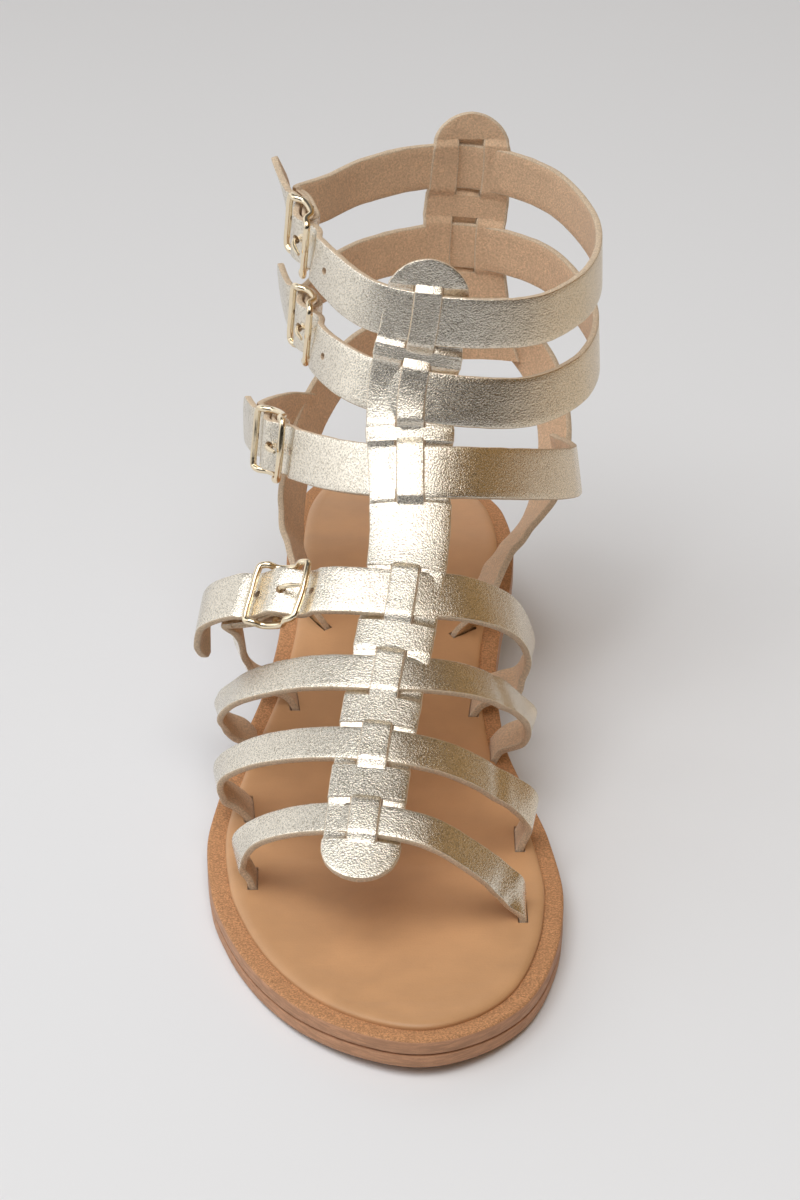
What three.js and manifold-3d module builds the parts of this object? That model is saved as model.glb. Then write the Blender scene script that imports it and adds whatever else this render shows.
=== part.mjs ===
// Gladiator sandal, right foot, size 38. Millimetres, +Z up, toe towards -Y, inner side towards +X.
// Every table gives a place on the shoe as x (towards the inner side), s (forward from the back
// of the heel) and z (up from the ground).
import * as THREE from 'three';
import { mergeVertices } from 'three/addons/utils/BufferGeometryUtils.js';
import Module from 'manifold-3d';

const wasm = await Module();
wasm.setup();

// ---- named sizes ----
const soleLength = 251;
const outsoleThick = 3.4;
const midsoleThick = 3.7;
const insoleThick = 1.4;
const rimWidth = 4.6;        // flat edge of the midsole left showing round the insole
const gap = 0.3;             // glue line between the layers
const leather = 2.0;         // strap thickness
const skived = 1.2;          // strap thickness where it folds round a buckle bar
const join = 0.1;            // straps sink this far into each other where they are joined
const slotClear = 0.4;       // room round a strap in its insole slot
const tuck = 0.9;            // how far a strap end reaches below the top of the midsole
const bridgeWidth = 6.8;     // narrow strip of the spine that passes over each cross strap
const slitGap = 0.25;
const ramp = 3;              // length over which the bridge climbs over a strap
const crownRadius = 38;      // the spine is bowed across its width by this radius
const topPieceThick = 3.2;
const heelLength = 60;
const barRadius = 0.9;       // buckle wire
const buckleLength = 16;
const buckleWidth = 18.4;
const prongRadius = 0.7;
const eyeletFlange = 2.2;
const eyeletHole = 1.0;
const eyeletAt = 12;          // distance from the middle bar
const planCentre = { x: 0.22, s: 125.5 };

// ---- sole shape: underside height and half outlines along the length ----
const soleRows = [
  { s: 0, under: 24.6 },
  { s: 28, under: 24.6 },
  { s: 50, under: 24.0 },
  { s: 70, under: 21.6 },
  { s: 90, under: 17.2 },
  { s: 110, under: 11.8 },
  { s: 130, under: 6.6 },
  { s: 150, under: 2.8 },
  { s: 170, under: 0.6 },
  { s: 184, under: 0 },
  { s: 212, under: 0 },
  { s: 232, under: 0.7 },
  { s: 251, under: 2.6 },
];
const outlineRows = [
  { s: 0, outer: 0, inner: 0 },
  { s: 4, outer: -13, inner: 13.5 },
  { s: 10, outer: -20, inner: 19.5 },
  { s: 20, outer: -26, inner: 25.5 },
  { s: 35, outer: -29.6, inner: 31 },
  { s: 52, outer: -30.8, inner: 32.6 },
  { s: 70, outer: -31.2, inner: 31 },
  { s: 90, outer: -32.8, inner: 27 },
  { s: 110, outer: -36.4, inner: 24.6 },
  { s: 130, outer: -42.4, inner: 25.6 },
  { s: 150, outer: -47.6, inner: 30.2 },
  { s: 168, outer: -50, inner: 34.4 },
  { s: 188, outer: -48.4, inner: 36.2 },
  { s: 205, outer: -44, inner: 34.6 },
  { s: 220, outer: -37.6, inner: 31 },
  { s: 233, outer: -29.2, inner: 25.6 },
  { s: 243, outer: -19, inner: 17.6 },
  { s: 248.5, outer: -10, inner: 9.6 },
  { s: 251, outer: 0, inner: 0 },
];

// ---- straps ----
// focus: the middle of the foot inside the strap, which the strap faces away from.
// level straps face level with the ground, tipped upward by "tip" degrees.
const straps = {
  toe: {
    width: 8.6, focus: { x: -6, s: 184, z: -12 },
    start: { x: -36.5, s: 185, out: -2.5 }, end: { x: 24.5, s: 200.5, out: 1 },
    rows: [
      { x: -41.5, s: 186, z: 16.5 },
      { x: -38, s: 189, z: 24 },
      { x: -27, s: 195, z: 31.8 },
      { x: -11.7, s: 201.5, z: 36 },
      { x: 3, s: 203.5, z: 33.5 },
      { x: 14, s: 203, z: 25.6 },
      { x: 21.5, s: 201.5, z: 17.4 },
    ],
  },
  ball: {
    width: 9.5, focus: { x: -5, s: 158, z: -10 },
    start: { x: -37, s: 157, out: -4 }, end: { x: 24.5, s: 170.5, out: 3 },
    rows: [
      { x: -46.4, s: 158.5, z: 18 },
      { x: -46, s: 161, z: 25 },
      { x: -39, s: 166, z: 32.5 },
      { x: -26, s: 174, z: 39.8 },
      { x: -8.8, s: 181, z: 43.5 },
      { x: 8, s: 179.5, z: 38.6 },
      { x: 21, s: 175.5, z: 28.6 },
      { x: 29.5, s: 172, z: 18.6 },
    ],
  },
  waist: {
    width: 10, focus: { x: -3, s: 134, z: -8 },
    start: { x: -37, s: 130, out: -4 }, end: { x: 20.5, s: 134.5, out: 4 },
    rows: [
      { x: -45.4, s: 131.5, z: 20 },
      { x: -46.8, s: 135, z: 27 },
      { x: -43, s: 140.5, z: 35 },
      { x: -36, s: 148, z: 42.4 },
      { x: -23, s: 156.5, z: 49.6 },
      { x: -5.3, s: 161.5, z: 51.8 },
      { x: 10, s: 158, z: 48.5 },
      { x: 21, s: 151, z: 41 },
      { x: 28.4, s: 144, z: 31.5 },
      { x: 31, s: 138.5, z: 22 },
    ],
  },
  instep: {
    width: 13, focus: { x: 0, s: 106, z: 6 },
    start: { x: 16, s: 117, out: 4.5 },
    rows: [
      { x: 29, s: 118, z: 24 },
      { x: 32, s: 119.5, z: 32 },
      { x: 31, s: 123, z: 40.5 },
      { x: 26.5, s: 128.5, z: 49.5 },
      { x: 15, s: 136.5, z: 58.6 },
      { x: -1.1, s: 140.5, z: 62.4 },
      { x: -17, s: 139, z: 63 },
      { x: -32, s: 132, z: 58.6 },
      { x: -41.6, s: 126.6, z: 55.2 },
      { x: -50.4, s: 120, z: 48.4 },
      { x: -52.2, s: 115.6, z: 41 },
      { x: -51, s: 112, z: 34.5 },
    ],
    clasp: 7,
  },
  ankle: {
    width: 13.4, focus: { x: 6, s: 62 },
    rows: [
      { x: 45, s: 42, z: 53, tip: 4 },
      { x: 48.4, s: 58, z: 57.5, tip: 6 },
      { x: 47, s: 73, z: 63, tip: 12 },
      { x: 40, s: 88, z: 69.5, tip: 20 },
      { x: 27, s: 103, z: 77, tip: 32 },
      { x: 15, s: 110, z: 80.8, tip: 37 },
      { x: 1.7, s: 112, z: 82, tip: 39 },
      { x: -11, s: 106.5, z: 80.6, tip: 35 },
      { x: -22, s: 96.5, z: 78.4, tip: 24 },
      { x: -34, s: 79, z: 75.2, tip: 10 },
      { x: -39, s: 66, z: 74, tip: 2 },
      { x: -41, s: 56, z: 72.5, tip: 0 },
    ],
    clasp: 9,
    fixed: [
      { x: -24.4, s: 38, z: 64.5, tip: 0 },
      { x: -30.4, s: 47, z: 68.5, tip: 0 },
    ],
  },
  lowerLoop: {
    width: 13, focus: { x: 14, s: 55 },
    rows: [
      { x: -31, s: 40, z: 106, tip: 0 },
      { x: -29, s: 51, z: 104, tip: 0 },
      { x: -25, s: 64, z: 103, tip: 4 },
      { x: -19.5, s: 81, z: 101, tip: 12 },
      { x: -10, s: 94, z: 99.6, tip: 22 },
      { x: 2.4, s: 100, z: 98.2, tip: 26 },
      { x: 18, s: 99, z: 95.4, tip: 22 },
      { x: 33, s: 93, z: 92.8, tip: 14 },
      { x: 46, s: 80, z: 92.6, tip: 8 },
      { x: 52.6, s: 63, z: 94, tip: 4 },
      { x: 52, s: 43, z: 97, tip: 0 },
      { x: 41, s: 19, z: 101.4, tip: 0 },
      { x: 19.6, s: 8, z: 103.4, tip: 0 },
      { x: 1, s: 16.5, z: 104, tip: 0 },
      { x: -12, s: 33, z: 103, tip: 0 },
    ],
    clasp: 2, folded: true,
  },
  upperLoop: {
    width: 12.8, focus: { x: 14, s: 52 },
    rows: [
      { x: -31, s: 37, z: 137, tip: -6 },
      { x: -28.4, s: 48, z: 130.5, tip: -2 },
      { x: -25.4, s: 60, z: 126.4, tip: 2 },
      { x: -18.4, s: 77, z: 122.6, tip: 8 },
      { x: -8, s: 90, z: 118.8, tip: 12 },
      { x: 5.9, s: 95, z: 116.7, tip: 14 },
      { x: 20, s: 95.4, z: 115.4, tip: 11 },
      { x: 35, s: 90.5, z: 114.4, tip: 8 },
      { x: 47.6, s: 76, z: 115.2, tip: 4 },
      { x: 53.2, s: 58, z: 117, tip: 2 },
      { x: 52, s: 40, z: 119.8, tip: 0 },
      { x: 41.6, s: 18.6, z: 124, tip: 0 },
      { x: 21.6, s: 8, z: 126.6, tip: 0 },
      { x: 2, s: 16, z: 127.6, tip: 0 },
      { x: -12, s: 32, z: 126, tip: 0 },
    ],
    clasp: 2, folded: true,
  },
};

// strip from the sole to the instep buckle
const instepBuckleStrap = {
  width: 12.6, focus: { x: 0, s: 106, z: 6 },
  start: { x: -27, s: 114, out: -3.5 },
  rows: [
    { x: -38.5, s: 114.5, z: 25 },
    { x: -42, s: 116, z: 34 },
    { x: -42.4, s: 118.6, z: 42 },
  ],
};

// spine up the front of the foot; "crossing" marks where each cross strap passes under the bridge
const spineRows = [
  { x: -12.9, s: 210.4, z: 32.2, width: 18.4, tab: 6.6 },
  { x: -11.7, s: 201.5, z: 36, width: 18.4, crossing: 'toe' },
  { x: -8.8, s: 181, z: 43.5, width: 18.6, crossing: 'ball' },
  { x: -5.3, s: 161.5, z: 51.8, width: 19, crossing: 'waist' },
  { x: -1.1, s: 140.5, z: 62.4, width: 19.6, crossing: 'instep' },
  { x: 1.2, s: 125, z: 71.4, width: 20.2 },
  { x: 1.7, s: 112, z: 82, width: 21.6, crossing: 'ankle' },
  { x: 2.4, s: 100, z: 98.2, width: 23, crossing: 'lowerLoop' },
  { x: 5.9, s: 95, z: 116.7, width: 22.2, crossing: 'upperLoop' },
  { x: 7.2, s: 92.8, z: 126.7, width: 20, tab: 4.8 },
];
const backRows = [
  { x: 21.8, s: 8.8, z: 136.5, width: 20.4, tab: 5.9 },
  { x: 21.6, s: 8, z: 126.6, width: 23.4, crossing: 'upperLoop' },
  { x: 19.6, s: 8, z: 103.4, width: 24, crossing: 'lowerLoop' },
  { x: 20, s: 8, z: 88, width: 26 },
  { x: 20.4, s: 8, z: 76, width: 28 },
];
const legs = {
  outer: {
    width: 13.6, focus: { x: 8, s: 62, z: 66 }, end: { x: -22.5, s: 85, out: -2 },
    rows: [
      { x: 15, s: 8.6, z: 81 },
      { x: 3, s: 10.6, z: 78.5 },
      { x: -10, s: 17, z: 74.4 },
      { x: -19, s: 29, z: 69 },
      { x: -25.4, s: 42, z: 61 },
      { x: -28.8, s: 55, z: 51 },
      { x: -29.4, s: 67, z: 43.6 },
      { x: -27, s: 77, z: 37 },
    ],
  },
  inner: {
    width: 13.6, focus: { x: 8, s: 62, z: 66 }, end: { x: 18, s: 90, out: 2.5 },
    rows: [
      { x: 25, s: 8.2, z: 81 },
      { x: 35, s: 10.4, z: 76 },
      { x: 42, s: 16, z: 68.5 },
      { x: 45, s: 27, z: 59.5 },
      { x: 44.4, s: 40, z: 51 },
      { x: 40, s: 54, z: 43.5 },
      { x: 33, s: 67, z: 41 },
      { x: 25.6, s: 79, z: 37 },
    ],
  },
};

// ---- placing helpers ----
const place = (x, s, z) => new THREE.Vector3(x - planCentre.x, planCentre.s - s, z);
const up = new THREE.Vector3(0, 0, 1);

// smooth value of one column of a table, with no overshoot between rows
function read(table, column, s, warp = (t) => t) {
  const at = table.map((row) => warp(row.s));
  const value = table.map((row) => row[column]);
  const here = warp(Math.min(Math.max(s, table[0].s), table.at(-1).s));
  const slope = at.slice(1).map((end, i) => (value[i + 1] - value[i]) / (end - at[i]));
  const tangent = at.map((_, i) => {
    if (i === 0) return slope[0];
    if (i === at.length - 1) return slope.at(-1);
    const before = slope[i - 1];
    const after = slope[i];
    return before * after > 0 ? (2 * before * after) / (before + after) : 0;
  });
  let i = 0;
  while (i < at.length - 2 && here > at[i + 1]) i += 1;
  const span = at[i + 1] - at[i];
  const t = (here - at[i]) / span;
  return value[i] * (2 * t ** 3 - 3 * t ** 2 + 1) + value[i + 1] * (3 * t ** 2 - 2 * t ** 3)
    + span * (tangent[i] * (t ** 3 - 2 * t ** 2 + t) + tangent[i + 1] * (t ** 3 - t ** 2));
}
const roundEnds = (s) => Math.acos(1 - (2 * s) / soleLength) / Math.PI;
const under = (s) => read(soleRows, 'under', s);
const midsoleTop = (s) => under(s) + outsoleThick + gap + midsoleThick;
const insoleTop = (s) => midsoleTop(s) + gap + insoleThick;

// ---- mesh helpers ----
function meshOf(points, triangles) {
  let geometry = new THREE.BufferGeometry();
  geometry.setAttribute('position', new THREE.Float32BufferAttribute(points.flatMap((p) => [...p]), 3));
  geometry.setIndex(triangles.flat());
  geometry = mergeVertices(geometry, 1e-4);
  const index = geometry.index.array;
  const kept = [];
  for (let i = 0; i < index.length; i += 3) {
    const [a, b, c] = [index[i], index[i + 1], index[i + 2]];
    if (a !== b && b !== c && a !== c) kept.push(a, b, c);
  }
  geometry.setIndex(kept);
  return geometry;
}
function solid(geometry) {
  const bare = geometry.clone();
  bare.deleteAttribute('normal');
  bare.deleteAttribute('uv');
  const merged = mergeVertices(bare, 1e-4);
  const index = merged.index.array;
  const kept = [];
  for (let i = 0; i < index.length; i += 3) {
    const [a, b, c] = [index[i], index[i + 1], index[i + 2]];
    if (a !== b && b !== c && a !== c) kept.push(a, b, c);
  }
  return new wasm.Manifold(new wasm.Mesh({
    numProp: 3,
    vertProperties: new Float32Array(merged.attributes.position.array),
    triVerts: new Uint32Array(kept),
  }));
}
function geometryOf(manifold) {
  const mesh = manifold.getMesh();
  const geometry = new THREE.BufferGeometry();
  const points = new Float32Array(mesh.numVert * 3);
  for (let i = 0; i < mesh.numVert; i += 1) {
    for (let k = 0; k < 3; k += 1) {
      points[3 * i + k] = Math.round(mesh.vertProperties[mesh.numProp * i + k] * 1e3) / 1e3;
    }
  }
  geometry.setAttribute('position', new THREE.BufferAttribute(points, 3));
  geometry.setIndex(new THREE.BufferAttribute(new Uint32Array(mesh.triVerts), 1));
  return geometry;
}

// ---- sole layers: a stack of insets of one outline, from the lowest level up ----
function outlinePairs(from, to, count) {
  const pairs = [];
  const first = roundEnds(from);
  const last = roundEnds(to);
  for (let i = 0; i <= count; i += 1) {
    const q = first + ((last - first) * i) / count;
    const s = (soleLength * (1 - Math.cos(Math.PI * q))) / 2;
    pairs.push({
      outer: new THREE.Vector2(read(outlineRows, 'outer', s, roundEnds), s),
      inner: new THREE.Vector2(read(outlineRows, 'inner', s, roundEnds), s),
    });
  }
  return pairs;
}
function insetPairs(pairs, inset, squareFront = false) {
  const moved = (side, sign) => pairs.map((pair, i) => {
    const before = pairs[Math.max(i - 1, 0)][side];
    const after = pairs[Math.min(i + 1, pairs.length - 1)][side];
    const along = after.clone().sub(before).normalize();
    const tip = pair.outer.distanceTo(pair.inner) < 1e-3;
    const inward = tip ? new THREE.Vector2(0, i === 0 ? 1 : -1)
      : new THREE.Vector2(along.y * sign, -along.x * sign);
    const point = pair[side].clone().addScaledVector(inward, inset);
    if (squareFront && i === pairs.length - 1) point.y = pair[side].y - inset;
    return point;
  });
  const outer = moved('outer', 1);
  const inner = moved('inner', -1);
  return pairs.map((_, i) => ({ outer: outer[i], inner: inner[i] }));
}
function layer(pairs, levels, squareFront = false) {
  const points = [];
  const triangles = [];
  const count = pairs.length;
  levels.forEach((level) => {
    insetPairs(pairs, level.inset, squareFront).forEach((pair) => {
      points.push(place(pair.outer.x, pair.outer.y, level.height(pair.outer.y)));
      points.push(place(pair.inner.x, pair.inner.y, level.height(pair.inner.y)));
    });
  });
  const vertex = (level, i, side) => (level * count + i) * 2 + side;
  const quad = (a, b, c, d) => triangles.push([a, b, c], [a, c, d]);
  for (let i = 0; i < count - 1; i += 1) {
    const top = levels.length - 1;
    quad(vertex(0, i, 0), vertex(0, i, 1), vertex(0, i + 1, 1), vertex(0, i + 1, 0));
    quad(vertex(top, i, 1), vertex(top, i, 0), vertex(top, i + 1, 0), vertex(top, i + 1, 1));
  }
  for (let level = 0; level < levels.length - 1; level += 1) {
    for (let i = 0; i < count - 1; i += 1) {
      quad(vertex(level, i, 0), vertex(level, i + 1, 0), vertex(level + 1, i + 1, 0), vertex(level + 1, i, 0));
      quad(vertex(level, i + 1, 1), vertex(level, i, 1), vertex(level + 1, i, 1), vertex(level + 1, i + 1, 1));
    }
    const end = count - 1;
    quad(vertex(level, 0, 1), vertex(level, 0, 0), vertex(level + 1, 0, 0), vertex(level + 1, 0, 1));
    quad(vertex(level, end, 0), vertex(level, end, 1), vertex(level + 1, end, 1), vertex(level + 1, end, 0));
  }
  return meshOf(points, triangles);
}

// ---- straps: a leather strip of even thickness swept along a smooth centre line ----
function stripRows(strap) {
  const foot = (end) => [
    { x: end.x, s: end.s, z: midsoleTop(end.s) - tuck - 2.4 },
    { x: end.x + end.out, s: end.s, z: insoleTop(end.s) + 1.4 },
  ];
  return [
    ...(strap.start ? foot(strap.start) : []),
    ...strap.rows,
    ...(strap.end ? foot(strap.end).reverse() : []),
  ];
}
function stations(strap, spacing, fine) {
  const bendPerStep = THREE.MathUtils.degToRad(11);
  const rows = stripRows(strap);
  const curve = new THREE.CatmullRomCurve3(rows.map((r) => place(r.x, r.s, r.z)), false, 'centripetal');
  curve.arcLengthDivisions = 600;
  const tips = new THREE.CatmullRomCurve3(
    rows.map((r, i) => new THREE.Vector3(r.tip ?? 0, r.width ?? strap.width, i)), false, 'centripetal');
  const total = curve.getLength();
  const list = [];
  let length = 0;
  while (length <= total) {
    const t = curve.getUtoTmapping(Math.min(length / total, 1));
    const point = curve.getPoint(t);
    const along = curve.getTangent(t);
    const extra = tips.getPoint(t);
    const out = facing(strap, point, along, extra.x);
    const across = along.clone().cross(out).normalize();
    list.push({ point, along, out, across, width: extra.y, t: t * (rows.length - 1), length, total });
    if (length === total) break;
    const near = fine !== undefined && Math.abs(length - fine) < 1.6 * halfBuckle + 0.05;
    let step = near ? 1.6 : 1.5;
    const turn = () => along.angleTo(curve.getTangent(curve.getUtoTmapping(Math.min((length + step) / total, 1))));
    while (!near && step < spacing && turn() < bendPerStep) step += 0.5;
    const zone = fine === undefined ? total : fine - 1.6 * halfBuckle;
    if (length < zone - 0.01 && length + step > zone) step = zone - length;
    length = Math.min(length + step, total);
    if (total - length < 0.5) length = total;
  }
  return list;
}
function facing(strap, point, along, tip) {
  const middle = strap.focus.z === undefined
    ? place(strap.focus.x, strap.focus.s, point.z)
    : place(strap.focus.x, strap.focus.s, strap.focus.z);
  const out = point.clone().sub(middle).normalize();
  if (strap.focus.z === undefined) {
    const angle = THREE.MathUtils.degToRad(tip);
    out.multiplyScalar(Math.cos(angle)).addScaledVector(up, Math.sin(angle));
  }
  return out.addScaledVector(along, -out.dot(along)).normalize();
}
function sweep(rings) {
  const size = rings[0].length;
  const triangles = [];
  for (let i = 0; i < rings.length - 1; i += 1) {
    for (let k = 0; k < size; k += 1) {
      const a = i * size + k;
      const b = i * size + ((k + 1) % size);
      triangles.push([a, b, b + size], [a, b + size, a + size]);
    }
  }
  const last = (rings.length - 1) * size;
  for (let k = 1; k < size - 1; k += 1) triangles.push([0, k + 1, k], [last, last + k, last + k + 1]);
  const made = solid(meshOf(rings.flat(), triangles));
  if (made.volume() > 0) return made;
  return solid(meshOf(rings.flat(), triangles.map(([a, b, c]) => [a, c, b])));
}
function stripSolid(list, thickness, grow = 0) {
  return sweep(list.map(({ point, along, across, out, width }, i) => {
    const end = i === 0 ? -grow : i === list.length - 1 ? grow : 0;
    const middle = point.clone().addScaledVector(along, end);
    const half = width / 2 + grow;
    const thick = thickness / 2 + grow;
    return [[-1, -1], [1, -1], [1, 1], [-1, 1]].map(([side, face]) =>
      middle.clone().addScaledVector(across, side * half).addScaledVector(out, face * thick));
  }));
}
const smooth = (t) => { const c = Math.min(Math.max(t, 0), 1); return c * c * (3 - 2 * c); };

// ---- buckles: sizes along the strap (d, towards its tip) and out from it (n) ----
const waveHeight = 1.4;      // the strap rises over the middle bar and dips under the end bars
const middleBar = -2.25;
const endBar = 1.1;
const halfBuckle = buckleLength / 2 - barRadius;
const halfWave = 7.8;
const foldRows = [
  { d: 18, n: -5.6 },
  { d: 11, n: -5.4 },
  { d: 3, n: -4.45 },
  { d: -0.6, n: -4.05 },
  { d: -1.9, n: -2.3 },
  { d: -0.6, n: -0.62 },
  { d: 2.6, n: -1.4 },
  { d: 7.6, n: -4.1 },
  { d: 12, n: -4.35 },
  { d: 17, n: -4.5 },
];
const prongRows = [
  { d: 0.9, n: -3.9 },
  { d: 1.85, n: -2.25 },
  { d: 0.6, n: -0.55 },
  { d: -1.2, n: 0.6 },
  { d: -2.4, n: 2.4 },
  { d: -4.4, n: 3.25 },
  { d: -8.6, n: 3.3 },
];
function claspFrame(strap) {
  const target = strap.clasp + (strap.start ? 2 : 0);
  const near = stations(strap, 0.5).reduce((best, station) =>
    (Math.abs(station.t - target) < Math.abs(best.t - target) ? station : best));
  const d = near.along.clone().multiplyScalar(strap.folded ? -1 : 1);
  return { centre: near.point, d, n: near.out, v: d.clone().cross(near.out), length: near.length };
}
const local = (clasp, d, v, n) => clasp.centre.clone()
  .addScaledVector(clasp.d, d).addScaledVector(clasp.v, v).addScaledVector(clasp.n, n);
function wave(list, clasp) {
  list.forEach((station) => {
    const d = Math.abs(station.length - clasp.length);
    const lift = d < 1.5 * halfWave ? waveHeight * Math.cos((Math.PI * d) / halfWave) : 0;
    station.point.addScaledVector(station.out, lift);
  });
  return list;
}
function localStrip(clasp, rows, width, count) {
  const curve = new THREE.CatmullRomCurve3(rows.map((r) => local(clasp, r.d, 0, r.n)), false, 'centripetal');
  const list = [];
  for (let i = 0; i <= count; i += 1) {
    const point = curve.getPointAt(i / count);
    const along = curve.getTangentAt(i / count);
    list.push({ point, along, across: clasp.v, out: clasp.v.clone().cross(along), width });
  }
  return list;
}
function tube(points, radius, lengthSteps, ringSteps, closed) {
  const path = new THREE.CatmullRomCurve3(points, closed, 'centripetal');
  const ring = new THREE.Shape();
  ring.absarc(0, 0, radius, 0, 2 * Math.PI, false);
  return new THREE.ExtrudeGeometry(ring, { steps: lengthSteps, curveSegments: ringSteps, extrudePath: path });
}
function cylinder(clasp, d, v, n, radius, length, axis) {
  const geometry = new THREE.CylinderGeometry(radius, radius, length, 9);
  const turn = new THREE.Quaternion().setFromUnitVectors(new THREE.Vector3(0, 1, 0), axis);
  const centre = local(clasp, d, v, n);
  geometry.applyQuaternion(turn).translate(centre.x, centre.y, centre.z);
  return solid(geometry);
}
function block(clasp, from, to) {
  const size = new THREE.Vector3(to.d - from.d, to.v - from.v, to.n - from.n);
  const geometry = new THREE.BoxGeometry(size.x, size.y, size.z);
  const centre = local(clasp, (from.d + to.d) / 2, (from.v + to.v) / 2, (from.n + to.n) / 2);
  const basis = new THREE.Matrix4().makeBasis(clasp.d, clasp.v, clasp.n);
  if (basis.determinant() < 0) basis.makeBasis(clasp.d, clasp.v.clone().negate(), clasp.n);
  geometry.applyMatrix4(basis).translate(centre.x, centre.y, centre.z);
  return solid(geometry);
}
function buckleFrame(clasp) {
  const half = buckleWidth / 2 - barRadius;
  const corner = 2.2;
  const side = (sign) => [
    [-halfBuckle + corner, sign * half, endBar - 0.5],
    [-3, sign * half, middleBar + 1],
    [0, sign * half, middleBar + 0.5],
    [3, sign * half, middleBar + 1],
    [halfBuckle - corner, sign * half, endBar - 0.5],
  ];
  const ends = [
    ...side(1),
    [halfBuckle - 0.4, half - 0.5, endBar - 0.1],
    [halfBuckle, half - corner, endBar],
    [halfBuckle, -half + corner, endBar],
    [halfBuckle - 0.4, -half + 0.5, endBar - 0.1],
    ...side(-1).reverse(),
    [-halfBuckle - 0.2, -half + 0.5, endBar],
    [-halfBuckle - 0.9, -half + corner + 1, endBar + 0.3],
    [-halfBuckle - 1.3, 0, endBar + 0.4],
    [-halfBuckle - 0.9, half - corner - 1, endBar + 0.3],
    [-halfBuckle - 0.2, half - 0.5, endBar],
  ].map(([d, v, n]) => local(clasp, d, v, n));
  const loop = solid(tube(ends, barRadius, 32, 4, true));
  const bar = cylinder(clasp, 0, 0, middleBar, barRadius - 0.05, 2 * half, clasp.v);
  return geometryOf(loop.add(bar));
}
function prong(clasp) {
  const points = prongRows.map((row) => local(clasp, row.d, 0, row.n));
  return tube(points, prongRadius, 16, 2, false);
}
function eyelet(clasp, d, top, bottom) {
  const profile = [
    [eyeletHole, bottom - gap - 0.5],
    [eyeletFlange, bottom - gap - 0.35],
    [eyeletFlange, bottom - gap],
    [eyeletHole + 0.45, bottom - gap],
    [eyeletHole + 0.45, top + gap],
    [eyeletFlange, top + gap],
    [eyeletFlange, top + gap + 0.35],
    [eyeletHole, top + gap + 0.5],
    [eyeletHole, bottom - gap - 0.5],
  ].map(([r, y]) => new THREE.Vector2(r, y));
  const geometry = new THREE.LatheGeometry(profile, 9);
  const turn = new THREE.Quaternion().setFromUnitVectors(new THREE.Vector3(0, 1, 0), clasp.n);
  const centre = local(clasp, d, 0, 0);
  geometry.applyQuaternion(turn).translate(centre.x, centre.y, centre.z);
  return geometryOf(solid(geometry));
}

// ---- spine and back piece: two flanks under the cross straps and a bridge over them ----
function crossedStrip(rows, outward, spacing) {
  const curve = new THREE.CatmullRomCurve3(rows.map((r) => place(r.x, r.s, r.z)), false, 'centripetal');
  curve.arcLengthDivisions = 600;
  const widths = new THREE.CatmullRomCurve3(
    rows.map((r, i) => new THREE.Vector3(r.width, 0, i)), false, 'centripetal');
  const total = curve.getLength();
  const lengthAt = (row) => {
    let low = 0;
    let high = 1;
    for (let i = 0; i < 40; i += 1) {
      const middle = (low + high) / 2;
      if (curve.getUtoTmapping(middle) < row / (rows.length - 1)) low = middle;
      else high = middle;
    }
    return low * total;
  };
  const station = (at) => {
    const t = curve.getUtoTmapping(at / total);
    const along = curve.getTangent(t);
    const across = new THREE.Vector3(1, 0, 0).addScaledVector(along, -along.x).normalize();
    const out = across.clone().cross(along).normalize();
    if (out.dot(outward) < 0) out.negate();
    return { point: curve.getPoint(t), along, across, out, width: widths.getPoint(t).x };
  };
  // a point of the bowed cross-section, "side" mm from its middle and "rise" mm out from the leather's middle
  const bowed = (at, side, rise) => {
    const { point, across, out } = station(at);
    const angle = side / crownRadius;
    return point.clone().addScaledVector(across, (crownRadius + rise) * Math.sin(angle))
      .addScaledVector(out, (crownRadius + rise) * Math.cos(angle) - crownRadius);
  };
  const section = (at, sides, rise) => [
    ...sides.map((side) => bowed(at, side, rise - leather / 2)),
    ...[...sides].reverse().map((side) => bowed(at, side, rise + leather / 2)),
  ];
  const half = bridgeWidth / 2;
  const raised = leather - join;
  const made = [];
  let from = 0;
  const plain = (start, end) => {
    const count = Math.max(1, Math.ceil((end - start) / spacing));
    const rings = [];
    for (let i = 0; i <= count; i += 1) {
      const at = start + ((end - start) * i) / count;
      const edge = station(at).width / 2;
      rings.push(section(at, [-edge, -half, half, edge], 0));
    }
    made.push(sweep(rings));
  };
  rows.forEach((row, i) => {
    if (!row.crossing) return;
    const at = lengthAt(i);
    const reach = straps[row.crossing].width / 2 + 0.2;
    plain(from, at - reach - ramp + join);
    from = at + reach + ramp - join;
    const steps = [-reach - ramp, -reach, reach, reach + ramp];
    const climb = [0, 1, 1, 0];
    made.push(sweep(steps.map((step, k) => section(at + step, [-half, half], raised * climb[k]))));
    [-1, 1].forEach((side) => {
      made.push(sweep(steps.map((step, k) => {
        const edge = station(at + step).width / 2;
        return section(at + step, [side * (half + slitGap), side * edge], -raised * climb[k]);
      })));
    });
  });
  plain(from, total);
  return made;
}
function roundTab(end, before, width, length, outward) {
  const along = end.clone().sub(before).normalize();
  const across = new THREE.Vector3(1, 0, 0).addScaledVector(along, -along.x).normalize();
  const out = across.clone().cross(along).normalize();
  if (out.dot(outward) < 0) out.negate();
  const list = [-0.35, 0, 0.3, 0.55, 0.75, 0.9, 0.97].map((t) => ({
    point: end.clone().addScaledVector(along, t * length), along, across, out,
    width: t <= 0 ? width : Math.max(width * Math.sqrt(1 - t * t), 2),
  }));
  return stripSolid(list, leather);
}

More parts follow.
